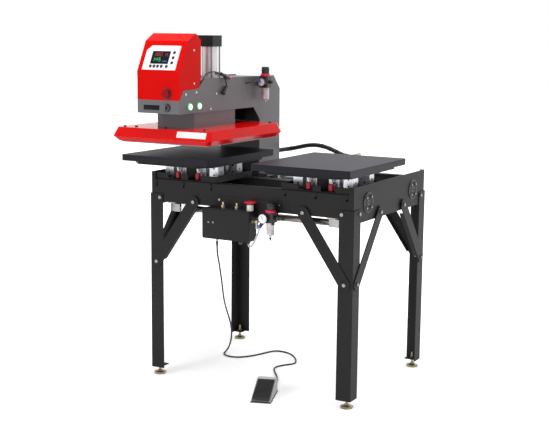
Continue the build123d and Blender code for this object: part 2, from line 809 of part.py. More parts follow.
# Red control housing above the band, a closed shell
housing_outline = [(head_front, band_top + cover_seam), (head_front, slope_bottom), slope_top,
                   *housing_crest, (housing_back, housing_back_top), (housing_back, housing_back_foot),
                   (shoulder_back[0] - cover_seam, shoulder_back[1] + cover_seam),
                   (shoulder_front[0] - cover_seam, shoulder_front[1] + cover_seam)]
with BuildPart() as housing:
    with BuildSketch(Plane.YZ.offset(head_outer[0])):
        with BuildLine():
            Polyline(*housing_outline, close=True)
        make_face()
    extrude(amount=2 * head_half_width)
    with BuildSketch(Plane.YZ.offset(head_outer[0] + cover_shell)):
        with BuildLine():
            Polyline(*housing_outline, close=True)
        make_face()
        offset(amount=-cover_shell, kind=Kind.INTERSECTION, mode=Mode.REPLACE)
    extrude(amount=2 * (head_half_width - cover_shell), mode=Mode.SUBTRACT)
    bar_y(station_left + stop_x, (head_front - stop_collar, head_front), stop_z, stop_collar_radius)
    bar_y(station_left + stop_x, (head_front - stop_collar, head_front + cover_shell), stop_z,
          stop_stem_radius + button_gap, Mode.SUBTRACT)
keep(housing.part, "control_housing")

# Display panel on the housing's slope: plate, screen and flat keys
slope_foot = Vector(station_left, head_front, slope_bottom)
slope_head = Vector(station_left, *slope_top)
slope_up = (slope_head - slope_foot).normalized()
slope_out = Vector(1, 0, 0).cross(slope_up)
panel_plane = Plane(origin=slope_foot, x_dir=(1, 0, 0), z_dir=slope_out)
with BuildPart() as panel:
    with BuildSketch(panel_plane):
        with BuildLine():
            Polyline((-panel_half_width, panel_start), (panel_half_width, panel_start),
                     (panel_half_width, panel_end), (-panel_half_width + panel_corner_cut, panel_end),
                     (-panel_half_width, panel_end - panel_corner_cut), close=True)
        make_face()
    extrude(amount=panel_thickness)
    with BuildSketch(panel_plane.offset(panel_thickness)):
        with Locations((screen_u, screen_v)):
            Rectangle(screen_width, screen_height)
    extrude(amount=screen_thickness)
    with BuildSketch(panel_plane.offset(panel_thickness)):
        with Locations(*[(side_key_u, v) for v in side_key_v], *[(u, low_key_v) for u in low_key_u]):
            Circle(key_radius)
    extrude(amount=key_height)
keep(panel.part, "display_panel")

# Press cylinder: body with the rod's bore and a mounting flange under the roof
with BuildPart() as cylinder:
    post(station_left, cylinder_y, (cylinder_bottom, cylinder_top), cylinder_radius)
    half = cylinder_flange_size / 2
    slab((station_left - half, station_left + half), (cylinder_y - half, cylinder_y + half),
         (roof_top - head_sheet - cylinder_flange_thickness, roof_top - head_sheet))
    post(station_left, cylinder_y, (cylinder_bottom, rod_top + bore_top_gap),
         rod_radius + shaft_running_gap, Mode.SUBTRACT)
keep(cylinder.part, "press_cylinder")

with BuildPart() as cylinder_cap:
    half = cylinder_cap_size / 2
    slab((station_left - half, station_left + half), (cylinder_y - half, cylinder_y + half),
         (cylinder_top, cylinder_top + cylinder_cap_height))
    fillet(cylinder_cap.edges().filter_by(Axis.Z), bend_radius)
keep(cylinder_cap.part, "cylinder_cap")

# Ram: rod, riser tray, cover and heated platen
with BuildPart() as rod:
    post(station_left, cylinder_y, (cover_top + riser_wall, rod_top), rod_radius)
keep(rod.part, "ram_rod")

riser_x = (station_left - riser_width / 2, station_left + riser_width / 2)
with BuildPart() as riser:
    slab(riser_x, (riser_front, riser_back), (cover_top, cover_top + riser_height))
    slab((riser_x[0] + riser_wall, riser_x[1] - riser_wall),
         (riser_front + riser_wall, riser_back - riser_wall),
         (cover_top + riser_wall, cover_top + riser_height), Mode.SUBTRACT)
    fillet(riser.edges().filter_by(Axis.Z).group_by(SortBy.LENGTH)[-1], riser_wall / 3)
keep(riser.part, "riser")


def cover_solid(inset, top):
    """The cover's outline, widest at its rim, moved in by a wall."""
    rim_z = cover_bottom + cover_rim_height
    rings = ((cover_bottom, cover_bottom_inset), (rim_z, 0.0), (top, cover_top_inset))
    with BuildPart() as skin:
        for lower_ring, upper_ring in zip(rings, rings[1:]):
            for z, shrink in (lower_ring, upper_ring):
                with BuildSketch(Plane.XY.offset(z)):
                    with Locations((station_left, platen_centre_y)):
                        RectangleRounded(2 * (cover_rim_half_x - shrink - inset),
                                         2 * (cover_rim_half_y - shrink - inset), cover_corner - inset)
            loft(ruled=True)
    return skin.part


cover_outside = cover_solid(0.0, cover_top)
cover_inside = cover_solid(cover_wall, cover_top - cover_wall)
with BuildPart() as cover:
    add(cover_outside)
    add(cover_inside, mode=Mode.SUBTRACT)
keep(cover.part, "heat_cover")

with BuildPart() as heated_platen:
    with BuildSketch(Plane.XY.offset(heated_face)):
        with Locations((station_left, platen_centre_y)):
            RectangleRounded(platen_width, platen_depth, platen_corner)
    extrude(amount=heated_platen_thickness)
    for sx in (-1, 1):
        for sy in (-1, 1):
            post(station_left + sx * platen_width / 4, platen_centre_y + sy * platen_depth / 4,
                 (heated_top, cover_top - cover_wall), post_radius)
keep(heated_platen.part, "heated_platen")


def make_push(centre, axis, radius, thickness, stand_off, stem_radius, reach):
    """A push button: a head that stands off its panel and a stem through the panel's hole."""
    out = Vector(*axis)
    plane = Plane(origin=Vector(*centre) + out * stand_off, z_dir=out)
    with BuildPart() as button:
        with BuildSketch(plane):
            Circle(radius)
        extrude(amount=thickness)
        fillet(button.edges().filter_by(GeomType.CIRCLE).sort_by(Axis(centre, axis))[-1], thickness / 3)
        with BuildSketch(plane):
            Circle(stem_radius)
        extrude(amount=-stand_off - reach)
    return button.part


keep(make_push((station_left + stop_x, head_front, stop_z), (0, -1, 0), stop_radius, stop_thickness,
               stop_stand_off, stop_stem_radius, stem_reach), "stop_button")
for number, y in enumerate(start_y, start=1):
    keep(make_push((head_outer[1], y, start_z), (1, 0, 0), start_radius, start_thickness,
                   start_stand_off, start_stem_radius, stem_reach), f"start_button_{number}")

# Key switch on the front band, turned by its blade
key_x = station_left + stop_x
key_face = head_front - button_gap
with BuildPart() as key_switch:
    bar_y(key_x, (key_face, key_face - key_switch_thickness), key_switch_z, key_switch_radius)
    bar_y(key_x, (key_face, head_front + stem_reach), key_switch_z, key_stem_radius)
    slab((key_x - key_blade[0] / 2, key_x + key_blade[0] / 2),
         (key_face - key_switch_thickness, key_face - key_switch_thickness - key_blade[2]),
         (key_switch_z - key_blade[1] / 2, key_switch_z + key_blade[1] / 2))
keep(key_switch.part, "key_switch")


def make_regulator(name, x, y, low, height, mount_x, mount_y, gauge_side):
    """A filter regulator: body, mounting stub, gauge and the collar under its knob."""
    high = low + height
    half = regulator_size / 2
    with BuildPart() as body:
        slab((x - half, x + half), (y - half, y + half), (low, high))
        fillet(body.edges().filter_by(Axis.Z), bend_radius)
        stub_z = (low + height / 4, high - height / 4)
        slab(mount_x, mount_y, stub_z)
        post(x, y, (high, high + collar_height), collar_radius)
        post(x, y, (high + collar_height, high + collar_height + regulator_neck_height),
             regulator_neck_radius)
        gauge_x = x + gauge_side
        bar_y(gauge_x, (y - half - gauge_depth, y - half), (low + high) / 2, gauge_radius)
        bar_x((x + half, x + half + port_length), y, (low + high) / 2, port_radius)
    keep(body.part, name)


def make_knob(name, x, y, collar_top, radius):
    """A ribbed regulator knob over the collar's neck."""
    low = collar_top + knob_gap
    with BuildPart() as knob:
        post(x, y, (low, low + knob_height), radius)
        fillet(knob.edges().filter_by(GeomType.CIRCLE).sort_by(Axis.Z)[-1], 2 * regulator_neck_height / 3)
        post(x, y, (low, low + regulator_neck_height + knob_gap), regulator_neck_radius + knob_gap,
             Mode.SUBTRACT)
    keep(knob.part, name)


def make_bowl(name, x, y, high, length):
    """A filter bowl with its drain."""
    with BuildPart() as bowl:
        post(x, y, (high - length, high), bowl_radius)
        fillet(bowl.edges().filter_by(GeomType.CIRCLE).sort_by(Axis.Z)[0], bowl_radius / 3)
        post(x, y, (high - length - drain_length, high - length), drain_radius)
    keep(bowl.part, name)


make_regulator("head_regulator", arm_regulator_x, arm_regulator_y, arm_regulator_bottom, regulator_height,
               (head_outer[1], arm_regulator_x - regulator_size / 2),
               (arm_regulator_y - regulator_size / 4, arm_regulator_y + regulator_size / 4), 0.0)
make_knob("head_knob", arm_regulator_x, arm_regulator_y,
          arm_regulator_bottom + regulator_height + collar_height, knob_radius)
make_bowl("head_bowl", arm_regulator_x, arm_regulator_y, arm_regulator_bottom, bowl_length)
make_regulator("inlet_regulator", inlet_regulator_x, inlet_regulator_y, inlet_regulator_bottom,
               inlet_regulator_height,
               (inlet_regulator_x - regulator_size / 4, inlet_regulator_x + regulator_size / 4),
               (inlet_regulator_y + regulator_size / 2, box_back), -gauge_radius)
make_knob("inlet_knob", inlet_regulator_x, inlet_regulator_y,
          inlet_regulator_bottom + inlet_regulator_height + collar_height, inlet_knob_radius)
make_bowl("inlet_bowl", inlet_regulator_x, inlet_regulator_y, inlet_regulator_bottom, bowl_length)

# Control box: a closed shell hung on a plate in front of the beam
box_x = (box_left, box_left + box_width)
gland_y = box_front + fitting_setout - gland_setback
with BuildPart() as box:
    slab(box_x, (box_front, box_back), (box_bottom, box_top))
    fillet(box.edges().filter_by(Axis.Y), box_corner)
    slab((box_x[0] + box_wall, box_x[1] - box_wall), (box_front + box_wall, box_back - box_wall),
         (box_bottom + box_corner, box_top - box_corner), Mode.SUBTRACT)
keep(box.part, "control_box")

with BuildPart() as hanger:
    slab((hanger_left, box_x[1] - box_corner), (box_back, -beam_face), (hanger_bottom, hanger_top))
    slab((hanger_left, hanger_arm_right), (box_back, -beam_face), (hanger_arm_bottom, hanger_top))
    slab((hanger_left, hanger_right), (box_back, -beam_face), (beam_bottom, hanger_top))
    fillet(hanger.edges().filter_by(Axis.Y), bend_radius)
    for x in hanger_screw_x:
        bar_y(x, (box_back, -beam_face), hanger_screw_z, screw_hole_radius, Mode.SUBTRACT)
keep(hanger.part, "box_hanger")

fitting_y = box_front + fitting_setout
barb_bottom = box_top + fitting_hex_height
metal_fittings = []
for x in fitting_x:
    with BuildPart() as fitting:
        with BuildSketch(Plane.XY.offset(box_top)):
            with Locations((x, fitting_y)):
                RegularPolygon(fitting_hex_radius, 6)
        extrude(amount=fitting_hex_height)
        post(x, fitting_y, (barb_bottom, barb_bottom + fitting_barb_height), fitting_barb_radius)
    metal_fittings.append(fitting.part)

# Glands: one under the box for the pedal cable, one on a bracket of the back beam for the hose
with BuildPart() as cable_gland:
    post(gland_x, gland_y, (box_bottom - gland_length, box_bottom), gland_radius)
metal_fittings.append(cable_gland.part)
with BuildPart() as hose_bracket:
    slab((hose_bracket_x, hose_bracket_x + sheet), (beam_face - beam_flange, beam_face),
         (beam_top, hose_bracket_top))
    bar_x((hose_bracket_x - gland_length, hose_bracket_x), hose_end_y, hose_end_z, hose_gland_radius)
metal_fittings.append(hose_bracket.part)
keep(Compound(children=metal_fittings), "fittings")

with BuildPart() as valve_base:
    post(valve_x, fitting_y, (box_top, box_top + valve_base_height), valve_base_radius)
    post(valve_x, fitting_y, (box_top + valve_base_height - valve_stem_length - valve_stand_off,
                              box_top + valve_base_height), valve_stem_radius + button_gap, Mode.SUBTRACT)
keep(valve_base.part, "valve_base")
keep(make_push((valve_x, fitting_y, box_top + valve_base_height), (0, 0, 1), valve_cap_radius,
               valve_cap_height, valve_stand_off, valve_stem_radius, valve_stem_length - valve_stand_off),
     "valve_button")

# Foot pedal: base with a rear tower and cheeks, and a treadle on a cross pin
pedal_plane = Plane(origin=(pedal_rear[0], pedal_rear[1], 0),
                    x_dir=(math.cos(math.radians(pedal_turn)), math.sin(math.radians(pedal_turn)), 0),
                    z_dir=(0, 0, 1))
pedal_side = Plane(origin=pedal_plane.origin, x_dir=pedal_plane.x_dir, z_dir=-pedal_plane.y_dir)
half_pedal = pedal_width / 2
treadle_half = half_pedal - pedal_cheek - treadle_gap
with BuildPart() as pedal_base:
    with BuildSketch(pedal_side.offset(-half_pedal)):
        with BuildLine():
            Polyline((0, 0), (pedal_length, 0), (pedal_length, pedal_toe), (pedal_tower, pedal_slope_top),
                     (pedal_tower, pedal_height), (bend_radius, pedal_height), (0, pedal_height - bend_radius),
                     close=True)
        make_face()
    extrude(amount=pedal_width)
    for low in (-half_pedal, half_pedal - pedal_cheek):
        with BuildSketch(pedal_side.offset(low)):
            with BuildLine():
                Polyline((pedal_tower, pedal_toe), (pedal_length, pedal_toe),
                         (pedal_length, 2 * pedal_toe), (pedal_tower, pedal_height), close=True)
            make_face()
        extrude(amount=pedal_cheek)
    with BuildSketch(pedal_side.offset(-half_pedal)):
        with Locations((pedal_pin_setback, pedal_pin_height)):
            Circle(pedal_pin_radius + shaft_running_gap)
    extrude(amount=pedal_width, mode=Mode.SUBTRACT)
keep(pedal_base.part, "pedal_base")

treadle_back = pedal_tower + treadle_gap
with BuildPart() as treadle:
    with BuildSketch(pedal_side.offset(-treadle_half)):
        with BuildLine():
            Polyline((treadle_back, pedal_height), (pedal_length, treadle_toe),
                     (pedal_length, treadle_toe - treadle_thickness),
                     (treadle_back, pedal_height - treadle_thickness - treadle_heel), close=True)
        make_face()
    extrude(amount=2 * treadle_half)
    with BuildSketch(pedal_side.offset(pedal_pin_inset - half_pedal)):
        with Locations((pedal_pin_setback, pedal_pin_height)):
            Circle(pedal_pin_radius)
    extrude(amount=pedal_width - 2 * pedal_pin_inset)
keep(treadle.part, "pedal_treadle")


def tube(name, points, radius):
    """A cord as straight runs joined by tangent arcs as large as the runs allow."""
    runs = [Vector(*b) - Vector(*a) for a, b in zip(points, points[1:])]
    radii = []
    for before, after in zip(runs, runs[1:]):
        turn = math.radians(before.get_angle(after))
        radii.append(0.45 * min(before.length, after.length) / math.tan(turn / 2))
    print(name, "runs", [round(r.length) for r in runs])
    print(name, "radii", [round(r) for r in radii])
    with BuildPart() as cord:
        with BuildLine() as route:
            FilletPolyline(*points, radius=radii)
        with BuildSketch(Plane(origin=points[0], z_dir=runs[0])):
            Circle(radius)
        sweep(path=route.wires()[0])
    length = route.wires()[0].length
    share = cord.part.volume / (math.pi * radius**2 * length)
    print(name, "length", round(length), "volume ratio", round(share, 4))
    keep(cord.part, name)


# Pedal cable, from the gland under the box down to the floor, round a loose loop and to the pedal
entry = pedal_plane.origin + pedal_plane.y_dir * cable_entry_side + pedal_plane.z_dir * cable_entry_height
before_entry = entry - pedal_plane.x_dir * cable_last_run
cable_first_drop = box_bottom - gland_length - cable_first_run
cable_lie = cable_radius
cable_route = [
    (gland_x, gland_y, box_bottom - gland_length), (gland_x, gland_y, cable_first_drop),
    (-121, -357, 532), (-138, -318, 492), (-160, -276, 452), (-181, -233, 409), (-202, -192, 364),
    (-222, -153, 321), (-242, -112, 281), (-260, -69, 241), (-275, -27, 199), (-289, 14, 156),
    (-306, 50, 110), (-318, 68, 78), (-331, 82, 50), (-342, 87, 27), (-350, 82, 11),
    (-352, 66, cable_lie), (-343, 46, cable_lie), (-324, 31, cable_lie), (-299, 24, cable_lie),
    (-268, 30, cable_lie), (-240, 54, cable_lie), (-216, 96, cable_lie), (-198, 149, cable_lie),
    (-178, 206, cable_lie), (-122, 211, cable_lie), (-71, 178, cable_lie), (-32, 131, cable_lie),
    (-5, 77, cable_lie), (-40, 32, cable_lie), (-58, -16, cable_lie), (-26, -68, cable_lie),
    (13, -116, cable_lie), (44, -165, cable_lie), (61, -208, 7),
    tuple(before_entry), tuple(entry)]
tube("pedal_cable", cable_route, cable_radius)

# Air hose, from the back of the neck over to the bracket on the back beam
hose_start_y = neck_sheet_back + hose_gland_length
hose_route = [
    (hose_gland_x, hose_start_y, hose_gland_z), (-222, 286, 878), (-209, 310, 880), (-184, 326, 884),
    (-145, 332, 892), (-98, 332, 904), (-50, 330, 908), (-6, 328, 902), (36, 326, 888), (76, 323, 873),
    (112, hose_end_y, hose_end_z), (hose_bracket_x - gland_length, hose_end_y, hose_end_z)]
tube("air_hose", hose_route, hose_radius)
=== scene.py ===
import math

import bmesh
import bpy
from mathutils import Matrix, Vector


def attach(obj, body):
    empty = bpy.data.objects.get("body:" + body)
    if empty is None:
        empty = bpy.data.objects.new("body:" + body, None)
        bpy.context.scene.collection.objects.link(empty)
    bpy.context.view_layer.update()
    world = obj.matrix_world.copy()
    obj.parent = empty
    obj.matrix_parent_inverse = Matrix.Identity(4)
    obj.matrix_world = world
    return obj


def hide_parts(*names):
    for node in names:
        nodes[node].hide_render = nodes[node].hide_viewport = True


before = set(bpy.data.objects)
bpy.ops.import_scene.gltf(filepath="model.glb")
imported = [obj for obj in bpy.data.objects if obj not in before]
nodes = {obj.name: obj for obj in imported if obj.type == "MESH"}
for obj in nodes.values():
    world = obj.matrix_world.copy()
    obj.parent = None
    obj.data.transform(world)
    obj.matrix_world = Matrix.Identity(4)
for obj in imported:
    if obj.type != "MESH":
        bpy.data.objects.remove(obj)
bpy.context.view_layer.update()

# The record's origin, seen from the middle of the stand on the floor, in millimetres
ORIGIN = Vector((-13.0, -85.5, 0.0))
MM_PER_METRE = 1000

# Photograph frame and the camera fitted to it
IMAGE_WIDTH = 550
FOCAL_PIXELS = 1135.4
SENSOR = 36.0
CAMERA_AT = (2190.0, -4008.0, 1390.0)
CAMERA_YAW = 29.4
CAMERA_PITCH = 9.52
CAMERA_ROLL = 0.57
CAMERA_REACH = 60

# Lamps: name, place, aim, size, power, colour, and whether polished faces mirror the lamp
WHITE = (1, 1, 1)
WARM = (1.0, 0.72, 0.67)
LAMPS = (("key", (-1.6, -4.2, 2.2), (0, 0, 0.8), 2.2, 95, WHITE, False),
         ("top", (0.2, -0.2, 3.6), (0, 0, 0.8), 2.6, 95, WHITE, False),
         ("side", (4.2, -1.0, 1.8), (0, 0, 0.7), 1.8, 34, WARM, False),
         ("rear", (0.5, 4.0, 2.4), (0, 0, 0.8), 2.0, 40, WHITE, True))
SKY_COLOUR = (0.95, 0.97, 1.0, 1)
SKY_STRENGTH = 0.42

# Floor: half its side, and the glow that whitens it from near the object to far away
FLOOR_HALF = 25
FLOOR_COLOUR = (0.94, 0.94, 0.94, 1)
FLOOR_ROUGHNESS = 0.9
FLOOR_SPECULAR = 0.1
GLOW_REACH = (0.9, 3.2)
GLOW_STRENGTH = (0.32, 1.1)

# What every surface shares
BROAD_DETAIL = 5
FINE_DETAIL = 3
TINT_STOPS = (0.3, 0.7)
LEAST_ROUGHNESS = 0.02
BUMP_DEPTH = 0.0004
COAT_ROUGHNESS = 0.06
LIT_ROUGHNESS = 0.3

# Places on the object, in millimetres from the middle of the stand
STATION = 292.0
HEAD_X = -STATION
HEAD_HALF_WIDTH = 96.0
HEAD_LEFT = HEAD_X - HEAD_HALF_WIDTH
HEAD_RIGHT = HEAD_X + HEAD_HALF_WIDTH
HEAD_FRONT = -504.0
BOX_FRONT = -395.2
BOX_BOTTOM = 602

# Directions
UP = (0, 0, 1)
DOWN = (0, 0, -1)
FRONTWARD = (0, -1, 0)
RIGHTWARD = (1, 0, 0)


def at(x, y, z):
    """A point given in millimetres from the middle of the stand, in the row frame."""
    return (Vector((x, y, z)) - ORIGIN) / MM_PER_METRE


# Camera and light


def place_camera():
    """The photograph's view: a long lens from the front right, a little above the head."""
    data = bpy.data.cameras.new("photo_camera")
    data.sensor_width = SENSOR
    data.lens = SENSOR * FOCAL_PIXELS / IMAGE_WIDTH
    data.clip_end = CAMERA_REACH
    camera = bpy.data.objects.new("photo_camera", data)
    bpy.context.scene.collection.objects.link(camera)
    yaw, pitch, roll = (math.radians(a) for a in (CAMERA_YAW, CAMERA_PITCH, CAMERA_ROLL))
    back = Vector((math.sin(yaw) * math.cos(pitch), -math.cos(yaw) * math.cos(pitch), math.sin(pitch)))
    level = Vector((math.cos(yaw), math.sin(yaw), 0))
    upright = back.cross(level)
    right = math.cos(roll) * level + math.sin(roll) * upright
    up = back.cross(right)
    camera.matrix_world = Matrix.Translation(at(*CAMERA_AT)) @ Matrix((right, up, back)).transposed().to_4x4()
    bpy.context.scene.camera = camera


def area_lamp(name, where, aim, size, power, colour, mirrored):
    """A soft square lamp that points at a place."""
    data = bpy.data.lights.new(name, "AREA")
    data.color = colour
    data.size = size
    data.energy = power
    lamp = bpy.data.objects.new(name, data)
    bpy.context.scene.collection.objects.link(lamp)
    lamp.location = where
    lamp.rotation_euler = (Vector(aim) - Vector(where)).to_track_quat("-Z", "Y").to_euler()
    lamp.visible_glossy = mirrored


def seen_rays(tree):
    """One for rays that show the white surroundings: camera, glossy and transmission rays."""
    path = tree.nodes.new("ShaderNodeLightPath")
    seen = path.outputs["Is Camera Ray"]
    for kind in ("Is Glossy Ray", "Is Transmission Ray"):
        either = tree.nodes.new("ShaderNodeMath")
        either.operation = "MAXIMUM"
        tree.links.new(seen, either.inputs[0])
        tree.links.new(path.outputs[kind], either.inputs[1])
        seen = either.outputs[0]
    return seen


def light_studio():
    """A white room: even sky light, and soft lamps from the front left, above, the right and behind."""
    world = bpy.data.worlds.new("studio")
    bpy.context.scene.world = world
    world.use_nodes = True
    tree = world.node_tree
    background = tree.nodes["Background"]
    white = tree.nodes.new("ShaderNodeBackground")
    white.inputs["Color"].default_value = (*WHITE, 1)
    white.inputs["Strength"].default_value = 1.0
    background.inputs["Color"].default_value = SKY_COLOUR
    background.inputs["Strength"].default_value = SKY_STRENGTH
    mix = tree.nodes.new("ShaderNodeMixShader")
    tree.links.new(seen_rays(tree), mix.inputs[0])
    tree.links.new(background.outputs[0], mix.inputs[1])
    tree.links.new(white.outputs[0], mix.inputs[2])
    tree.links.new(mix.outputs[0], tree.nodes["World Output"].inputs[0])
    for lamp in LAMPS:
        area_lamp(*lamp)


def pale_floor():
    """A wide pale floor that keeps the object's shadow and fades to white with the distance."""
    mesh = bmesh.new()
    bmesh.ops.create_grid(mesh, x_segments=1, y_segments=1, size=FLOOR_HALF)
    data = bpy.data.meshes.new("floor")
    mesh.to_mesh(data)
    mesh.free()
    floor = bpy.data.objects.new("floor", data)
    bpy.context.scene.collection.objects.link(floor)
    material = bpy.data.materials.new("floor_white")
    material.use_nodes = True
    tree = material.node_tree
    shader = tree.nodes["Principled BSDF"]
    shader.inputs["Base Color"].default_value = FLOOR_COLOUR
    shader.inputs["Roughness"].default_value = FLOOR_ROUGHNESS
    shader.inputs["Specular IOR Level"].default_value = FLOOR_SPECULAR
    glow = tree.nodes.new("ShaderNodeEmission")
    glow.inputs["Color"].default_value = (*WHITE, 1)
    place = tree.nodes.new("ShaderNodeTexCoord")
    reach = tree.nodes.new("ShaderNodeVectorMath")
    reach.operation = "LENGTH"
    fade = tree.nodes.new("ShaderNodeMapRange")
    fade.inputs["From Min"].default_value, fade.inputs["From Max"].default_value = GLOW_REACH
    fade.inputs["To Min"].default_value, fade.inputs["To Max"].default_value = GLOW_STRENGTH
    tree.links.new(place.outputs["Object"], reach.inputs[0])
    tree.links.new(reach.outputs["Value"], fade.inputs["Value"])
    tree.links.new(fade.outputs[0], glow.inputs["Strength"])
    both = tree.nodes.new("ShaderNodeAddShader")
    mix = tree.nodes.new("ShaderNodeMixShader")
    tree.links.new(shader.outputs[0], both.inputs[0])
    tree.links.new(glow.outputs[0], both.inputs[1])
    tree.links.new(seen_rays(tree), mix.inputs[0])
    tree.links.new(shader.outputs[0], mix.inputs[1])
    tree.links.new(both.outputs[0], mix.inputs[2])
    tree.links.new(mix.outputs[0], tree.nodes["Material Output"].inputs[0])
    data.materials.append(material)


# Materials


def noise(tree, place, scale, detail):
    """A noise texture read at a place."""
    node = tree.nodes.new("ShaderNodeTexNoise")
    node.inputs["Scale"].default_value = scale
    node.inputs["Detail"].default_value = detail
    tree.links.new(place, node.inputs["Vector"])
    return node.outputs["Fac"]


def surface(name, colour, rough, metal=0.0, vary=0.06, grain=900.0, bump=0.05, stretch=(1, 1, 1), coat=0.0,
            blotch=6.0, rough_vary=0.08, specular=0.5):
    """A node material: colour drift in broad patches, fine grain in bump, and uneven roughness."""
    material = bpy.data.materials.new(name)
    material.use_nodes = True
    tree = material.node_tree
    shader = tree.nodes["Principled BSDF"]
    place = tree.nodes.new("ShaderNodeTexCoord")
    shift = tree.nodes.new("ShaderNodeMapping")
    shift.inputs["Scale"].default_value = stretch
    tree.links.new(place.outputs["Object"], shift.inputs["Vector"])
    broad = noise(tree, shift.outputs[0], blotch, BROAD_DETAIL)
    fine = noise(tree, shift.outputs[0], grain, FINE_DETAIL)
    tint = tree.nodes.new("ShaderNodeValToRGB")
    tint.color_ramp.elements[0].position, tint.color_ramp.elements[1].position = TINT_STOPS
    tint.color_ramp.elements[0].color = (*(c * (1 - vary) for c in colour), 1)
    tint.color_ramp.elements[1].color = (*(min(1, c * (1 + vary)) for c in colour), 1)
    tree.links.new(broad, tint.inputs[0])
    tree.links.new(tint.outputs[0], shader.inputs["Base Color"])
    gloss = tree.nodes.new("ShaderNodeMapRange")
    gloss.inputs["To Min"].default_value = max(LEAST_ROUGHNESS, rough - rough_vary)
    gloss.inputs["To Max"].default_value = min(1.0, rough + rough_vary)
    tree.links.new(fine, gloss.inputs["Value"])
    tree.links.new(gloss.outputs[0], shader.inputs["Roughness"])
    grainy = tree.nodes.new("ShaderNodeBump")
    grainy.inputs["Strength"].default_value = bump
    grainy.inputs["Distance"].default_value = BUMP_DEPTH
    tree.links.new(fine, grainy.inputs["Height"])
    tree.links.new(grainy.outputs[0], shader.inputs["Normal"])
    shader.inputs["Metallic"].default_value = metal
    shader.inputs["Specular IOR Level"].default_value = specular
    shader.inputs["Coat Weight"].default_value = coat
    shader.inputs["Coat Roughness"].default_value = COAT_ROUGHNESS
    return material


def glowing(name, colour, strength):
    """A lit lens or segment, with the same uneven gloss as the plastic round it."""
    material = surface(name, colour, LIT_ROUGHNESS, vary=0.1, blotch=160)
    shader = material.node_tree.nodes["Principled BSDF"]
    shader.inputs["Emission Color"].default_value = (*colour, 1)
    shader.inputs["Emission Strength"].default_value = strength
    return material


STAND_PAINT = surface("stand_paint", (0.0165, 0.0155, 0.0165), 0.48, bump=0.35, grain=1400, vary=0.08,
                      specular=0.14)
HEAD_PAINT = surface("head_paint", (0.112, 0.110, 0.117), 0.42, metal=0.1, bump=0.3, grain=1600, vary=0.07,
                     specular=0.4)
RED_GLOSS = surface("red_gloss", (0.60, 0.003, 0.003), 0.14, bump=0.04, grain=260, vary=0.04, coat=0.05,
                    specular=0.08, rough_vary=0.04)
HOUSING_RED = surface("housing_red", (0.58, 0.003, 0.002), 0.36, bump=0.1, grain=420, vary=0.04,
                      specular=0.06)
PAD = surface("pad_rubber", (0.0085, 0.0085, 0.0165), 0.44, bump=0.45, grain=520, vary=0.12, blotch=9,
              specular=0.16)
BLACK_ANODISED = surface("black_anodised", (0.009, 0.009, 0.011), 0.42, bump=0.2, grain=1200, vary=0.1,
                         specular=0.16)
MILLED = surface("milled_aluminium", (0.66, 0.68, 0.72), 0.34, metal=0.85, stretch=(1, 8, 1), grain=140,
                 bump=0.02, vary=0.04, rough_vary=0.04)
TUBE = surface("anodised_tube", (0.62, 0.62, 0.63), 0.36, metal=0.6, stretch=(6, 1, 1), grain=120,
               bump=0.03, vary=0.04, rough_vary=0.04)
# Drive tube: a darker, brownish base than the silver tube, which is painted shade for its run in the shade
# under the beam
SHADED_DRIVE_TUBE = surface("drive_tube_painted_shade", (0.25, 0.22, 0.20), 0.34, metal=0.8, stretch=(6, 1, 1), grain=120,
                     bump=0.04)
CAP_SILVER = surface("cap_silver", (0.36, 0.35, 0.34), 0.36, metal=0.85, grain=300, bump=0.05, vary=0.06)
HEATED = surface("coated_platen", (0.20, 0.20, 0.21), 0.45, metal=0.6, grain=700, bump=0.2)
ZINC = surface("zinc_plate", (0.27, 0.27, 0.28), 0.4, metal=0.9, vary=0.12, blotch=60, grain=900, bump=0.1)
YELLOW_ZINC = surface("yellow_zinc", (0.30, 0.26, 0.17), 0.36, metal=0.85, vary=0.25, blotch=80, grain=900,
                      bump=0.1)
NICKEL_DARK = surface("dark_nickel", (0.13, 0.13, 0.14), 0.34, metal=0.9, vary=0.15, blotch=70, bump=0.05)
CHROME = surface("ground_steel", (0.56, 0.57, 0.58), 0.16, metal=0.95, vary=0.03, stretch=(1, 20, 20),
                 grain=180, rough_vary=0.03)
BRASS = surface("nickel_brass", (0.42, 0.35, 0.25), 0.32, metal=0.95, vary=0.15, blotch=70)
BLACK_PLASTIC = surface("black_plastic", (0.012, 0.012, 0.014), 0.42, bump=0.25, grain=1300, vary=0.15)
WHITE_PLASTIC = surface("white_plastic", (0.74, 0.74, 0.71), 0.4, bump=0.1, vary=0.04)
RED_PLASTIC = surface("red_plastic", (0.62, 0.010, 0.014), 0.25, bump=0.05, coat=0.3)
# Stop button: red plastic made darker, which is painted shade for the button's dimmer lighting
STOP_RED_SHADED = surface("stop_red_painted_shade", (0.25, 0.003, 0.004), 0.3, bump=0.05, specular=0.12)
COLLAR_RED = surface("collar_red", (0.62, 0.010, 0.06), 0.3, bump=0.05)
BLUE_PLASTIC = surface("blue_plastic", (0.005, 0.11, 0.55), 0.3, bump=0.05)
CLEAR = surface("clear_bowl", (0.56, 0.54, 0.55), 0.12, bump=0.02, vary=0.25, blotch=45, coat=0.4)
CLEAR_HOSE = surface("clear_hose", (0.46, 0.48, 0.53), 0.2, bump=0.03, vary=0.08, blotch=30)
PANEL_FILM = surface("panel_film", (0.78, 0.80, 0.84), 0.35, bump=0.08, grain=1500, vary=0.03)
SCREEN = surface("screen_glass", (0.005, 0.007, 0.011), 0.14, bump=0.0, vary=0.2, specular=0.12)
HOSE = surface("hose_rubber", (0.010, 0.010, 0.012), 0.34, bump=0.2, grain=600, vary=0.2, blotch=20)
CABLE = surface("cable_sheath", (0.016, 0.016, 0.018), 0.5, bump=0.15, grain=900, vary=0.15, specular=0.3)
PEDAL_GREY = surface("pedal_grey", (0.42, 0.42, 0.41), 0.5, bump=0.4, grain=800, vary=0.05)
PEDAL_LIGHT = surface("pedal_light", (0.62, 0.62, 0.60), 0.45, bump=0.4, grain=700, vary=0.08)
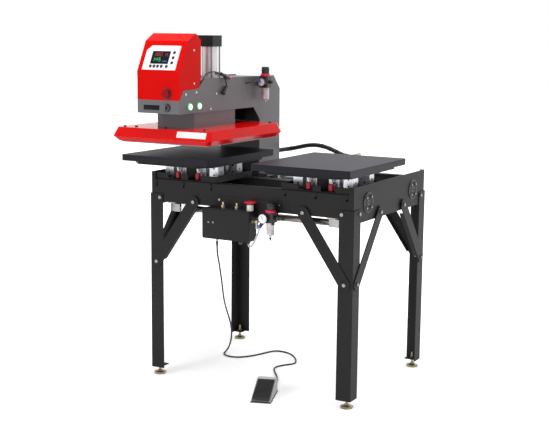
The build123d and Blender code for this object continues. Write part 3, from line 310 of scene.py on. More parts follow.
TREADLE = surface("treadle_rubber", (0.014, 0.014, 0.015), 0.6, bump=0.5, grain=700, vary=0.2)
DIAL = surface("dial_white", (0.82, 0.83, 0.84), 0.3, bump=0.02, vary=0.02)
GREEN_RING = glowing("green_ring", (0.02, 0.42, 0.10), 0.5)
LIT_WHITE = glowing("lit_white", (0.80, 0.95, 0.85), 0.6)
RED_DIGITS = glowing("red_digits", (0.30, 0.012, 0.012), 0.25)
GREEN_DIGITS = glowing("green_digits", (0.02, 0.42, 0.10), 0.35)
# Near-black with almost no specular: painted shade standing in for the depth of the beam's slots, also worn
# by the dark round heads
SLOT_SHADE_BLACK = surface("slot_painted_shade", (0.002, 0.002, 0.002), 0.7, specular=0.05)
# Dark red of the cover's vents: painted shade standing in for the depth of the openings
VENT_SHADE = surface("vent_painted_shade", (0.12, 0.002, 0.002), 0.5, bump=0.1)
BLUE_BAR = glowing("blue_bar", (0.02, 0.05, 0.22), 0.2)

NODE_SURFACES = {
    STAND_PAINT: ["leg_front_left", "leg_front_right", "leg_back_left", "leg_back_right", "front_beam",
                  "back_beam", "mid_beam", "side_plate_left", "side_plate_right", "braces", "shaft_flanges",
                  "station_tray_left", "station_tray_right", "control_box", "box_hanger", "carriage_plate"],
    ZINC: ["frame_bolts"],
    CAP_SILVER: ["drive_ends"],
    YELLOW_ZINC: ["levelling_feet"],
    NICKEL_DARK: ["key_switch"],
    CHROME: ["guide_shafts", "ram_rod"],
    TUBE: ["press_cylinder"],
    SHADED_DRIVE_TUBE: ["drive_tube"],
    MILLED: ["support_blocks_left", "support_blocks_right", "carriage_runners"],
    BLACK_ANODISED: ["lower_platen_left", "lower_platen_right", "cylinder_cap"],
    PAD: ["pad_left", "pad_right"],
    BRASS: ["fittings"],
    WHITE_PLASTIC: ["valve_base"],
    BLACK_PLASTIC: ["inlet_regulator", "head_regulator", "head_knob", "inlet_knob"],
    CLEAR: ["inlet_bowl", "head_bowl"],
    PEDAL_GREY: ["pedal_base"],
    TREADLE: ["pedal_treadle"],
    HEAD_PAINT: ["head_frame", "head_side_left", "head_side_right", "riser"],
    HOUSING_RED: ["control_housing"],
    RED_GLOSS: ["heat_cover"],
    HEATED: ["heated_platen"],
    PANEL_FILM: ["display_panel"],
    RED_PLASTIC: ["valve_button"],
    STOP_RED_SHADED: ["stop_button"],
    LIT_WHITE: ["start_button_1", "start_button_2"],
    CABLE: ["pedal_cable"],
    HOSE: ["air_hose"],
}


LEVERS = ["lock_lever_left_outer", "lock_lever_left_inner", "lock_lever_right_outer",
          "lock_lever_right_inner"]
LEVER_RED = (0.40, 0.006, 0.022)
LEVER_STEEL = (0.42, 0.42, 0.43, 1)
GRIP_LENGTH = 0.0262


def lever_surface(name):
    """A steel lever whose round grip at the bottom is dipped in red."""
    low = min(v.co.z for v in nodes[name].data.vertices)
    material = surface(name + "_dipped", LEVER_RED, 0.36, bump=0.2, grain=700)
    tree = material.node_tree
    shader = tree.nodes["Principled BSDF"]
    dipped = shader.inputs["Base Color"].links[0].from_socket
    place = tree.nodes.new("ShaderNodeTexCoord")
    parts = tree.nodes.new("ShaderNodeSeparateXYZ")
    above = tree.nodes.new("ShaderNodeMath")
    above.operation = "GREATER_THAN"
    above.inputs[1].default_value = low + GRIP_LENGTH
    mix = tree.nodes.new("ShaderNodeMixRGB")
    mix.inputs[2].default_value = LEVER_STEEL
    tree.links.new(place.outputs["Object"], parts.inputs[0])
    tree.links.new(parts.outputs["Z"], above.inputs[0])
    tree.links.new(above.outputs[0], mix.inputs[0])
    tree.links.new(dipped, mix.inputs[1])
    tree.links.new(mix.outputs[0], shader.inputs["Base Color"])
    tree.links.new(above.outputs[0], shader.inputs["Metallic"])
    return material


def dress_nodes():
    """Every CAD node gets its material."""
    worn = {name: material for material, names in NODE_SURFACES.items() for name in names}
    worn.update({name: lever_surface(name) for name in LEVERS})
    for name, material in worn.items():
        data = nodes[name].data
        data.materials.clear()
        data.materials.append(material)


# Mesh helpers

SMOOTH_DEGREES = 35.0
TURNED_SIDES = 40
BEVEL = 0.6
BEVEL_SEGMENTS = 2
BEVEL_PROFILE = 0.6
HEX = 6
SCREW_SIDES = 20
# Shares of a screw head's radius and height, for its outside and for its socket
HEAD_SHARES = ((1, 0), (1, 0.6), (0.82, 1), (0.5, 1))
SOCKET_SHARES = ((0.5, 1), (0.44, 0.5), (0, 0.45))
HOSE_FACETS = 5
HOSE_STEPS = 12
CORD_ORDER = 3
HOSE_ORDER = 4


def finish_mesh(name, mesh, material, body, smooth=SMOOTH_DEGREES):
    """Turns a bmesh into a piece with a material that rides on a body."""
    data = bpy.data.meshes.new(name)
    bmesh.ops.recalc_face_normals(mesh, faces=mesh.faces)
    for face in mesh.faces:
        face.smooth = True
    for edge in mesh.edges:
        if len(edge.link_faces) == 2 and edge.calc_face_angle(0) > math.radians(smooth):
            edge.smooth = False
    mesh.to_mesh(data)
    mesh.free()
    data.materials.append(material)
    piece = bpy.data.objects.new(name, data)
    bpy.context.scene.collection.objects.link(piece)
    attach(piece, body)
    return piece


def axes_on(direction, turn=0.0):
    """A rotation that takes +Z to a direction."""
    tilt = Vector(direction).normalized().to_track_quat("Z", "Y").to_matrix().to_4x4()
    return tilt @ Matrix.Rotation(turn, 4, "Z")


def lathe(name, profile, centre, direction, material, body, sides=TURNED_SIDES, turn=0.0):
    """A turned piece: (radius, height) points in millimetres about a centre and a direction."""
    mesh = bmesh.new()
    add_lathe(mesh, profile, centre, direction, sides, turn)
    return finish_mesh(name, mesh, material, body)


def add_lathe(mesh, profile, centre, direction, sides=TURNED_SIDES, turn=0.0):
    """Adds a turned form to a mesh. A radius of 0 closes it at the axis."""
    place = Matrix.Translation(at(*centre)) @ axes_on(direction, turn)
    rings = []
    for radius, height in profile:
        if radius == 0:
            rings.append([mesh.verts.new(place @ Vector((0, 0, height / MM_PER_METRE)))])
            continue
        ring = []
        for step in range(sides):
            angle = 2 * math.pi * step / sides
            flat = Vector((radius * math.cos(angle), radius * math.sin(angle), height)) / MM_PER_METRE
            ring.append(mesh.verts.new(place @ flat))
        rings.append(ring)
    for low, high in zip(rings, rings[1:]):
        for step in range(sides):
            after = (step + 1) % sides
            corners = [low[step % len(low)], low[after % len(low)],
                       high[after % len(high)], high[step % len(high)]]
            unique = list(dict.fromkeys(corners))
            if len(unique) > 2:
                mesh.faces.new(unique)


def add_block(mesh, low, high, bevel=BEVEL, place=None):
    """Adds a bevelled block between two corners in millimetres, in the object's or a local frame."""
    (x0, y0, z0), (x1, y1, z1) = low, high
    corners = [Vector((x, y, z)) for x in (x0, x1) for y in (y0, y1) for z in (z0, z1)]
    points = [(place @ (c / MM_PER_METRE)) if place else at(*c) for c in corners]
    verts = [mesh.verts.new(p) for p in points]
    quads = ((0, 1, 3, 2), (4, 6, 7, 5), (0, 4, 5, 1), (2, 3, 7, 6), (0, 2, 6, 4), (1, 5, 7, 3))
    faces = [mesh.faces.new([verts[i] for i in quad]) for quad in quads]
    if bevel:
        edges = list({e for f in faces for e in f.edges})
        bmesh.ops.bevel(mesh, geom=edges, offset=bevel / MM_PER_METRE, segments=BEVEL_SEGMENTS,
                        affect="EDGES", profile=BEVEL_PROFILE)


def block(name, low, high, material, body, bevel=BEVEL, place=None):
    """A bevelled block as a piece of its own."""
    mesh = bmesh.new()
    add_block(mesh, low, high, bevel, place)
    return finish_mesh(name, mesh, material, body)


def screw_heads(name, places, direction, radius, height, material, body):
    """Round screw heads with a hexagonal socket."""
    head, socket = ([(wide * radius, tall * height) for wide, tall in shares]
                    for shares in (HEAD_SHARES, SOCKET_SHARES))
    mesh = bmesh.new()
    for place in places:
        add_lathe(mesh, head, place, direction, SCREW_SIDES)
        add_lathe(mesh, socket, place, direction, HEX)
    return finish_mesh(name, mesh, material, body)


def hose_piece(name, points, radius, material, body, order=HOSE_ORDER):
    """A round line along control points, as a smooth curve that rides on a body."""
    data = bpy.data.curves.new(name, "CURVE")
    data.dimensions = "3D"
    data.bevel_depth = radius / MM_PER_METRE
    data.bevel_resolution = HOSE_FACETS
    data.use_fill_caps = True
    spline = data.splines.new("NURBS")
    spline.points.add(len(points) - 1)
    for point, place in zip(spline.points, points):
        point.co = (*at(*place), 1)
    spline.order_u = min(order, len(points))
    spline.use_endpoint_u = True
    spline.resolution_u = HOSE_STEPS
    data.materials.append(material)
    piece = bpy.data.objects.new(name, data)
    bpy.context.scene.collection.objects.link(piece)
    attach(piece, body)
    return piece


# Cords: the control points of their solids

CABLE_ROUTE = [
    (-117, -367, 590), (-117, -367, 560), (-121, -357, 532), (-138, -318, 492), (-160, -276, 452),
    (-181, -233, 409), (-202, -192, 364), (-222, -153, 321), (-242, -112, 281), (-260, -69, 241),
    (-275, -27, 199), (-289, 14, 156), (-306, 50, 110), (-318, 68, 78), (-331, 82, 50),
    (-342, 87, 27), (-350, 82, 11), (-352, 66, 3.5), (-343, 46, 3.5), (-324, 31, 3.5),
    (-299, 24, 3.5), (-268, 30, 3.5), (-240, 54, 3.5), (-216, 96, 3.5), (-198, 149, 3.5),
    (-178, 206, 3.5), (-122, 211, 3.5), (-71, 178, 3.5), (-32, 131, 3.5), (-5, 77, 3.5),
    (-40, 32, 3.5), (-58, -16, 3.5), (-26, -68, 3.5), (13, -116, 3.5), (44, -165, 3.5),
    (61, -208, 7), (74.36, -246.18, 14), (86.98, -282.02, 14)]
HOSE_ROUTE = [
    (-222, 266, 878), (-222, 286, 878), (-209, 310, 880), (-184, 326, 884), (-145, 332, 892), (-98, 332, 904),
    (-50, 330, 908), (-6, 328, 902), (36, 326, 888), (76, 323, 873), (112, 321, 868), (140, 321, 868)]


def free_cord(name, route, radius, node, material):
    """A cord that lies free, along the same control points as its solid."""
    piece = hose_piece(name, route, radius, material, "stand", order=CORD_ORDER)
    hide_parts(node)


# Details of the head

SLOPE_FOOT = Vector((HEAD_X, HEAD_FRONT, 1236.0))
SLOPE_HEAD = Vector((HEAD_X, -447.0, 1350.0))
SCREEN_LIFT = 3.9
FIGURE_LIFT = 4.4
FIGURE_RELIEF = 0.3
FIGURE_BEVEL = 0.1

# Rows of figures on the screen: name, figures, left, foot, width, height, bar, pitch and material
FIGURE_ROWS = (("set_figures", "180", -37, 62, 10, 15, 1.8, 14, RED_DIGITS),
               ("time_figures", "15", 10, 62, 8, 12, 1.6, 11, RED_DIGITS),
               ("run_figures", "145", -38, 40, 10, 16, 2.2, 14, GREEN_DIGITS))

# Round keys of the panel: a column beside the screen and a row under it
KEY_PLACES = [(53, v) for v in (78, 57, 36)] + [(u, 21) for u in (-40, -23, -7, 10, 33)]
KEY_PROFILE = [(6.4, 2.9), (6.4, 3.5), (5.6, 4.2), (0, 4.4)]
KEY_SIDES = 28


def sloped(foot, along, up):
    """A frame with X along a foot line and Y up a slope, its origin given in millimetres."""
    along, up = Vector(along), Vector(up).normalized()
    return Matrix.Translation(at(*foot)) @ Matrix((along, up, along.cross(up))).transposed().to_4x4()


def slope_frame(lift):
    """The display panel's own frame, X to the right and Y up the slope, lifted off the housing."""
    up = SLOPE_HEAD - SLOPE_FOOT
    out = Vector(RIGHTWARD).cross(up.normalized())
    return sloped(SLOPE_FOOT + out * lift, RIGHTWARD, up)


SEGMENTS = {"0": "abcdef", "1": "bc", "2": "abged", "3": "abgcd", "4": "fgbc", "5": "afgcd", "6": "afgedc",
            "7": "abc", "8": "abcdefg", "9": "abcdfg"}


def add_digit(mesh, place, digit, u, v, width, height, bar):
    """One seven-segment figure, its lower left corner at (u, v) in millimetres."""
    middle = height / 2
    bars = {"a": (bar, height - bar, width - bar, height),
            "g": (bar, middle - bar / 2, width - bar, middle + bar / 2),
            "d": (bar, 0, width - bar, bar), "f": (0, middle, bar, height - bar / 2),
            "b": (width - bar, middle, width, height - bar / 2), "e": (0, bar / 2, bar, middle),
            "c": (width - bar, bar / 2, width, middle)}
    for segment in SEGMENTS[digit]:
        x0, y0, x1, y1 = bars[segment]
        add_block(mesh, (u + x0, v + y0, 0), (u + x1, v + y1, FIGURE_RELIEF), FIGURE_BEVEL, place)


def figures(name, text, u, v, width, height, bar, pitch, material):
    """A row of plain figures on the screen."""
    mesh = bmesh.new()
    for index, digit in enumerate(text):
        add_digit(mesh, slope_frame(FIGURE_LIFT), digit, u + index * pitch, v, width, height, bar)
    finish_mesh(name, mesh, material, "shuttle")


def dress_panel():
    """Screen glass, figures and keys on the display panel."""
    block("screen_glass", (-44.5, 31, 0), (36.5, 83, 0.5), SCREEN, "shuttle", 0.3, slope_frame(SCREEN_LIFT))
    for row in FIGURE_ROWS:
        figures(*row)
    block("screen_bar", (10, 38, 0), (31, 44, FIGURE_RELIEF), BLUE_BAR, "shuttle", FIGURE_BEVEL,
          slope_frame(FIGURE_LIFT))
    mesh = bmesh.new()
    panel = slope_frame(0)
    normal = panel.to_3x3() @ Vector(UP)
    for u, v in KEY_PLACES:
        centre = panel @ Vector((u / MM_PER_METRE, v / MM_PER_METRE, 0))
        add_lathe(mesh, KEY_PROFILE, centre * MM_PER_METRE + ORIGIN, normal, KEY_SIDES)
    finish_mesh("panel_keys", mesh, BLACK_PLASTIC, "shuttle")


SWITCH_X = HEAD_X + 40
START_ROW = ((1, -437), (2, -374))
START_HEIGHT = 1105
PLATE_SCREWS = ((-462, 1153), (-391, 1158), (-291, 1090), (-249, 1147))
HOUSING_SCREWS = ((-406, 1316), (-405, 1192))


def dress_head():
    """Bezels of the switches, the band's window, the rear slope of the neck and the sides' screws."""
    lathe("stop_bezel", [(12, 0), (21.5, 0), (21.5, 2.2), (19.5, 3.4), (17.8, 3.4), (17.8, 1.6), (12, 1.6)],
          (SWITCH_X, HEAD_FRONT, 1155), FRONTWARD, BLACK_PLASTIC, "shuttle")
    lathe("key_bezel", [(12.6, 0), (16, 0), (16, 1.6), (14.5, 3), (12.6, 3)],
          (SWITCH_X, HEAD_FRONT, 1103), FRONTWARD, BLACK_PLASTIC, "shuttle")
    for number, y in START_ROW:
        lathe(f"start_ring_{number}", [(11.6, 0), (15, 0), (15, 2.4), (13.6, 3.6), (11.6, 3.6), (11.6, 0)],
              (HEAD_RIGHT, y, START_HEIGHT), RIGHTWARD, GREEN_RING, "shuttle")
    block("band_window", (HEAD_X - 67, HEAD_FRONT - 1.2, 1093), (HEAD_X + 5, HEAD_FRONT, 1111), SCREEN,
          "shuttle")
    block("neck_slope", (-91.6, 0, 0.5), (91.6, 84, 4), HEAD_PAINT, "shuttle", 0.5,
          sloped((HEAD_X, 256, 1140), RIGHTWARD, (0, -58, 61)))
    for label, side, x in (("right", 1, HEAD_RIGHT), ("left", -1, HEAD_LEFT)):
        screw_heads(f"plate_screws_{label}", [(x, y, z) for y, z in PLATE_SCREWS], (side, 0, 0), 4.6, 2.4,
                    MILLED, "shuttle")
        screw_heads(f"housing_screws_{label}", [(x, y, z) for y, z in HOUSING_SCREWS], (side, 0, 0), 4.0, 1.8,
                    MILLED, "shuttle")


COVER_TOP = 1020.0
RIM_FRONT = -501.0
RIM_RIGHT = -66.0
RIM_HEIGHT = 985.0
COVER_SLOPE = (14.0, 35.0)
COVER_SCREWS = [(-488, -450), (-441, -440), (-315, -425), (-127, -440), (-119, 40), (-465, 40), (-292, 35)]
FRONT_VENTS = range(7)
FRONT_VENT_START = -66
FRONT_VENT_PITCH = 19.4
SIDE_VENTS = range(9)
SIDE_VENT_START = -330
SIDE_VENT_PITCH = 17.5
VENT_SUNK = -0.2
VENT_BEVEL = 0.2


def cover_slope_frame(side):
    """A frame on the sloping skin over the cover's rim, on its front or on its right."""
    inward, rise = COVER_SLOPE
    if side == "front":
        return sloped((HEAD_X, RIM_FRONT, RIM_HEIGHT), RIGHTWARD, (0, inward, rise))
    return sloped((RIM_RIGHT, 0, RIM_HEIGHT), (0, 1, 0), (-inward, 0, rise))


def dress_cover():
    """Black screws on the red cover, its vent slots as dark red blocks of painted shade, and a bare label
    plate.
    """
    screw_heads("cover_screws", [(x, y, COVER_TOP) for x, y in COVER_SCREWS], UP, 6, 4, BLACK_PLASTIC, "ram")
    slots = bmesh.new()
    front = cover_slope_frame("front")
    for step in FRONT_VENTS:
        u = FRONT_VENT_START + FRONT_VENT_PITCH * step
        add_block(slots, (u - 5, 13, VENT_SUNK), (u + 2, 15.5, 0.35), VENT_BEVEL, front)
        add_block(slots, (u - 2, 18.5, VENT_SUNK), (u + 5, 21, 0.35), VENT_BEVEL, front)
    side = cover_slope_frame("right")
    for step in SIDE_VENTS:
        v = SIDE_VENT_START + SIDE_VENT_PITCH * step
        add_block(slots, (v, 8, VENT_SUNK), (v + 2.4, 27, 0.3), VENT_BEVEL, side)
    finish_mesh("cover_vents", slots, VENT_SHADE, "ram")
    block("cover_label", (76, 9, 0), (206, 33, 0.5), WHITE_PLASTIC, "ram", 0.25, front)


GAUGE_DEPTH = 12.6
CASE_LIP, GLASS_EDGE, RIM_EDGE = 0.9, 0.91, 0.97
TICKS = range(11)
FIRST_TICK = -135
TICK_PITCH = 27
TICK_SPAN = (0.68, 0.82)
NEEDLE_TURN = 40
NEEDLE_SPAN = (-0.2, 0.62)


def gauge(name, centre, radius, body):
    """A pressure gauge that faces the operator: case with its rim, white dial, ticks and needle."""
    depth = GAUGE_DEPTH
    lip, edge, rim = radius * CASE_LIP, radius * GLASS_EDGE, radius * RIM_EDGE
    lathe(name + "_case", [(0, -1), (lip, -1), (radius, 1), (radius, depth), (rim, depth + 1.6),
                           (edge, depth + 1.6), (lip, depth + 0.4)], centre, FRONTWARD, BLACK_PLASTIC, body)
    lathe(name + "_dial", [(edge, depth + 0.2), (lip, depth + 0.5), (0, depth + 0.5)], centre, FRONTWARD,
          DIAL, body)
    mesh = bmesh.new()
    x, y, z = centre
    face = Matrix.Translation(at(x, y - depth - 0.5, z)) @ axes_on(FRONTWARD)
    for step in TICKS:
        spot = face @ Matrix.Rotation(math.radians(FIRST_TICK + TICK_PITCH * step), 4, "Z")
        add_block(mesh, (-0.35, radius * TICK_SPAN[0], 0), (0.35, radius * TICK_SPAN[1], 0.3), 0, spot)
    spot = face @ Matrix.Rotation(math.radians(NEEDLE_TURN), 4, "Z")
    add_block(mesh, (-0.5, radius * NEEDLE_SPAN[0], 0.3), (0.5, radius * NEEDLE_SPAN[1], 0.7), 0, spot)
    finish_mesh(name + "_marks", mesh, BLACK_PLASTIC, body)


# Regulators: name, X and Y of the axis, collar's foot, bodies of the housing and the knob, knob's radius
INLET_X = 118
INLET_Y = -365
REGULATORS = (("head", -165, 78, 1206, "shuttle", "head_knob_body", 15),
              ("inlet", INLET_X, INLET_Y, 720, "stand", "inlet_knob_body", 16))
COLLAR_PROFILE = [(13, 0), (19.4, 0), (20, 1.5), (20, 8.5), (18.8, 10.8), (13, 10.8)]
KNOB_RISE = 11.4
KNOB_RIBS = 20


def dress_regulators():
    """Red collars, ribbed knobs, gauges and push-in fittings of the two regulators."""
    for name, x, y, low, body, knob_body, radius in REGULATORS:
        lathe(name + "_collar", COLLAR_PROFILE, (x, y, low), UP, COLLAR_RED, body)
        mesh = bmesh.new()
        base = low + KNOB_RISE
        for step in range(KNOB_RIBS):
            angle = 2 * math.pi * step / KNOB_RIBS
            spot = Matrix.Translation(at(x, y, base)) @ Matrix.Rotation(angle, 4, "Z")
            add_block(mesh, (radius - 0.6, -1.1, 1.5), (radius + 0.8, 1.1, 21), 0.4, spot)
        finish_mesh(name + "_knob_ribs", mesh, BLACK_PLASTIC, knob_body)
    gauge("head_gauge", (-165, 58, 1183), 17, "shuttle")
    gauge("inlet_gauge", (102, -385, 700), 19.5, "stand")
    lathe("head_inlet", [(0, 0), (8, 0), (8, 8), (6.5, 9), (6.5, 24), (7.5, 25), (7.5, 31), (0, 31)],
          (-176, 58, 1189), (0.15, -1, 0), BLACK_PLASTIC, "shuttle")
    lathe("head_inlet_ring", [(0, 0), (6, 0), (6.6, 1), (6.6, 4.5), (3, 5.5), (0, 5.5)], (-171.4, 27.4, 1189),
          (0.15, -1, 0), BLUE_PLASTIC, "shuttle")
    hose_piece("head_supply_line", [(-171, 26, 1189), (-168, 6, 1189), (-170, -14, 1186), (-184, -24, 1182),
                                    (-197, -26, 1180)], 3, HOSE, "shuttle")
    lathe("inlet_outlet", [(0, 0), (10, 0), (10, 9), (8, 10), (8, 15), (9.4, 16), (9.4, 24), (7, 25), (7, 29),
                           (0, 30)], (148, INLET_Y, 702), (1, 0, 0.05), BLACK_PLASTIC, "stand")
    lathe("inlet_drain", [(0, 0), (4.2, 0), (4.8, 1), (4.8, 6), (3.2, 7), (3.2, 12), (0, 12)],
          (INLET_X, INLET_Y, 626.4), DOWN, BLACK_PLASTIC, "stand")
    lathe("inlet_plug", [(0, 0), (6.5, 0), (6.5, 9), (5, 11), (0, 11)], (133, -372, 686), (0.1, -0.2, -1),
          BLACK_PLASTIC, "stand")
    lathe("inlet_elbow", [(0, 0), (7.5, 0), (7.5, 12), (6, 14), (0, 14)], (92, -378, 682), (-0.6, -0.1, -0.8),
          BLACK_PLASTIC, "stand")
    lathe("inlet_ring", [(0, 0), (6.6, 0), (7.4, 1.4), (7.4, 8), (5, 9.5), (0, 9.5)], (83.5, -379.4, 670.7),
          (-0.45, 0, -0.9), BLUE_PLASTIC, "stand")
    hose_piece("clear_line", [(80, -379, 664), (75, -379, 644), (64, -378, 620), (52, -376, 600),
                              (40, -374, 584), (29, -372, 583), (26, -371, 592), (26, -371, 598)],
               4, CLEAR_HOSE, "stand")
    lathe("box_drop", [(0, 0), (6.5, 0), (7.6, 1), (7.6, 10), (6, 11), (6, 24), (7.2, 25), (7.2, 33),
                       (0, 33)], (63, -373.4, 688), (0.05, 0, -1), BRASS, "stand")
    lathe("box_elbow", [(0, 0), (7.5, 0), (7.5, 6), (6, 7), (6, 16), (7, 17), (7, 24), (0, 24)],
          (40.5, -371, 683), (1, -0.12, -0.15), BRASS, "stand", turn=0.2)


FINE_SIDES = 48
SLIM_KNOB_FOOT = 731.4
SLIM_KNOB_HEIGHT = 27


def dress_knobs():
    """The mushroom valve's flared cap and the slimmer ribbed knob of the inlet regulator."""
    cap = lathe("mushroom_cap", [(0, -15), (5, -15), (5, 0), (9, 0), (14, 1.6), (22.6, 5), (24, 6.6),
                                 (23.2, 8.4), (16, 9.8), (0, 10.6)], (28, -363, 745), UP, RED_PLASTIC,
                "valve_button_body", FINE_SIDES)
    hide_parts("valve_button")
    tall = SLIM_KNOB_HEIGHT
    knob = lathe("slim_knob", [(13, 0), (15.4, 0), (16, 1.2), (16, tall - 2.4), (14.4, tall), (11, tall),
                               (10, tall - 1), (0, tall - 1)], (INLET_X, INLET_Y, SLIM_KNOB_FOOT), UP,
                 BLACK_PLASTIC, "inlet_knob_body", FINE_SIDES)
    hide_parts("inlet_knob")


CORNERS = [(sx, sy) for sx in (-1, 1) for sy in (-1, 1)]
CYLINDER_Y = -150.0
ROD_FOOT = 1201.0
ROD_LENGTH = 126.0
ROD_RADIUS = 3.4
ROD_OFFSET = 29
ROD_SIDES = 16
FINE_LINE = 2.6
PLUG_LEAN = (0, 0.965, -0.262)


def dress_cylinder():
    """Tie rods and port of the press cylinder, and the thin leads, plugs and nut beside it."""
    rods = bmesh.new()
    for sx, sy in CORNERS:
        add_lathe(rods, [(0, 0), (ROD_RADIUS, 0), (ROD_RADIUS, ROD_LENGTH), (0, ROD_LENGTH)],
                  (HEAD_X + sx * ROD_OFFSET, CYLINDER_Y + sy * ROD_OFFSET, ROD_FOOT), UP, ROD_SIDES)
    finish_mesh("tie_rods", rods, ZINC, "shuttle")
    lathe("cylinder_port", [(0, 0), (7, 0), (7, 6), (5, 7), (5, 20), (6.4, 21), (6.4, 26), (0, 26)],
          (HEAD_X + 28, CYLINDER_Y, 1222), (1, 0.1, 0), ZINC, "shuttle")
    lathe("upper_fitting", [(0, 0), (5.4, 0), (6.4, 2), (6.4, 26), (8, 28), (8, 52), (6.8, 55), (6.8, 62),
                            (0, 62)], (-189, -228, 1223.5), PLUG_LEAN, BLACK_PLASTIC, "shuttle")
    lathe("upper_ring", [(0, 0), (6, 0), (7, 1.4), (7, 7), (5, 8.6), (0, 8.6)], (-189, -168.2, 1207.2),
          PLUG_LEAN, RED_PLASTIC, "shuttle")
    lathe("lower_fitting", [(0, 0), (6, 0), (7, 2), (7, 20), (8.2, 22), (8.2, 36), (5, 40), (0, 40)],
          (-187, -187, 1174), (0, -0.66, -0.75), BLACK_PLASTIC, "shuttle")
    lathe("bulkhead_nut", [(0, 0), (10, 0), (10, 4), (8.6, 5.6), (0, 5.6)], (HEAD_RIGHT, -206, 1152),
          RIGHTWARD, BLACK_PLASTIC, "shuttle", sides=HEX)
    hose_piece("arched_line", [(-201, -350, 1188), (-199, -338, 1212), (-197, -312, 1231), (-193, -272, 1234),
                               (-189, -240, 1228), (-189, -226, 1223)], FINE_LINE, HOSE, "shuttle")
    hose_piece("looped_line", [(-189, -192, 1212), (-184, -200, 1196), (-184, -196, 1184),
                               (-187, -188, 1175)], FINE_LINE, HOSE, "shuttle")


# Details of the stand

# Bolts of one corner: those on the front and back sheets (X, Z, Y) and those on the ends (Y, Z, X)
SHEET_FACES = ((402, 734, 340), (418, 474, 344), (242, 728, 344))
END_FACES = ((292, 734, 450), (308, 474, 454), (111, 718, 454))
HEX_PROFILE = [(7.7, 0), (7.7, 3.8), (6.4, 4.9)]
SHEET_HEX_TURN = 0.3
END_HEX_TURN = 0.5
HEX_SMOOTH = 20

FLANGE_X = 446
SHAFT_Y = 212
SHAFT_HEIGHT = 767
OUTER_RING = [(36, 3), (36.4, 3.8), (37.6, 3.8), (38.2, 3), (38.2, 0)]
OUTER_RING_SIDES = 56
INNER_RING = [(6.2, 0.5), (6.2, 3.6), (8.4, 3.6), (9, 3)]
INNER_RING_SIDES = 32

FOOT_X = 425
FOOT_Y = 315
DOME_PROFILE = [(22.5, 8), (21, 9.4), (15, 11), (9.4, 12.6), (8.6, 12.6)]

TRAY_SLOTS = (-420, -292, -164)
TRAY_HEADS = (164, 292, 420)
TRAY_HEAD_PROFILE = [(5, 0), (5, 1.4), (3.4, 2.2), (0, 2.2)]
TRAY_HEAD_SIDES = 24


def dress_bolts():
    """Hexagon heads over the frame's bolts."""
    heads = bmesh.new()
    for sx, sy in CORNERS:
        for x, z, y in SHEET_FACES:
            add_lathe(heads, HEX_PROFILE, (sx * x, sy * y, z), (0, sy, 0), HEX, SHEET_HEX_TURN)
        for y, z, x in END_FACES:
            add_lathe(heads, HEX_PROFILE, (sx * x, sy * y, z), (sx, 0, 0), HEX, END_HEX_TURN)
    finish_mesh("hex_heads", heads, ZINC, "stand", HEX_SMOOTH)


def dress_flanges():
    """Raised rings on the shaft flanges."""
    rings = bmesh.new()
    for sx, sy in CORNERS:
        centre, out = (sx * FLANGE_X, sy * SHAFT_Y, SHAFT_HEIGHT), (sx, 0, 0)
        add_lathe(rings, OUTER_RING, centre, out, OUTER_RING_SIDES)
        add_lathe(rings, INNER_RING, centre, out, INNER_RING_SIDES)
    finish_mesh("flange_rings", rings, NICKEL_DARK, "stand")


def dress_feet():
    """Domes on the plates of the levelling feet."""
    domes = bmesh.new()
    for sx, sy in CORNERS:
        add_lathe(domes, DOME_PROFILE, (sx * FOOT_X, sy * FOOT_Y, 0), UP)
    finish_mesh("foot_domes", domes, YELLOW_ZINC, "stand")


def dress_trays():
    """Slots in the front beam at the left tray, as near-black blocks of painted shade for the openings'
    depth, and near-black round heads at the right one.
    """
    slots = bmesh.new()
    for x in TRAY_SLOTS:
        add_block(slots, (x - 3.2, -337, 778), (x + 3.2, -335.5, 804), 0.5)
    for x in TRAY_HEADS:
        add_lathe(slots, TRAY_HEAD_PROFILE, (x, -336, 787), FRONTWARD, TRAY_HEAD_SIDES)
    finish_mesh("tray_slots", slots, SLOT_SHADE_BLACK, "stand")


def dress_box():
    """Lid, screws and plugs of the control box."""
    block("box_lid", (-165, BOX_FRONT, 605), (39, -393.6, 717), STAND_PAINT, "stand", 1.0)
    screw_heads("box_screws", [(-138, BOX_FRONT, 666), (-118, BOX_FRONT, 666.6)], FRONTWARD, 4, 2, ZINC,
                "stand")
    lathe("box_plug", [(8, 0), (8, 4), (6.4, 5), (6.4, 15), (4, 17), (0, 17)], (-16, -360, BOX_BOTTOM), DOWN,
          BLACK_PLASTIC, "stand")
    lathe("box_vent", [(6, 0), (6, 8), (4.5, 10), (0, 10)], (18, -352, BOX_BOTTOM), DOWN, WHITE_PLASTIC,
          "stand")
    lathe("line_fitting", [(0, 0), (7, 0), (7, 4), (5, 5), (5, 9), (0, 9)], (26, -371, BOX_BOTTOM), DOWN,
          BLACK_PLASTIC, "stand")


SLEEVE_RIBS = 5
SLEEVE_BORE = 0.9
RIB_FOOT = 0.55
GROOVE_DEPTH = 0.5
GROOVE_SPAN = (0.1, 0.35)

# Sleeves: name, place, direction, radius at the gland and at the end, and length
SLEEVES = (("box_relief", CABLE_ROUTE[0], DOWN, 6.0, 3.8, 22),
           ("pedal_relief", CABLE_ROUTE[-1], (-12.62, 35.84, 0), 6.4, 3.8, 24),
           ("neck_relief", HOSE_ROUTE[0], (0, 1, 0), 13.2, 10.2, 12),
           ("bracket_relief", HOSE_ROUTE[-1], (-1, 0, 0), 13.2, 10.2, 18))


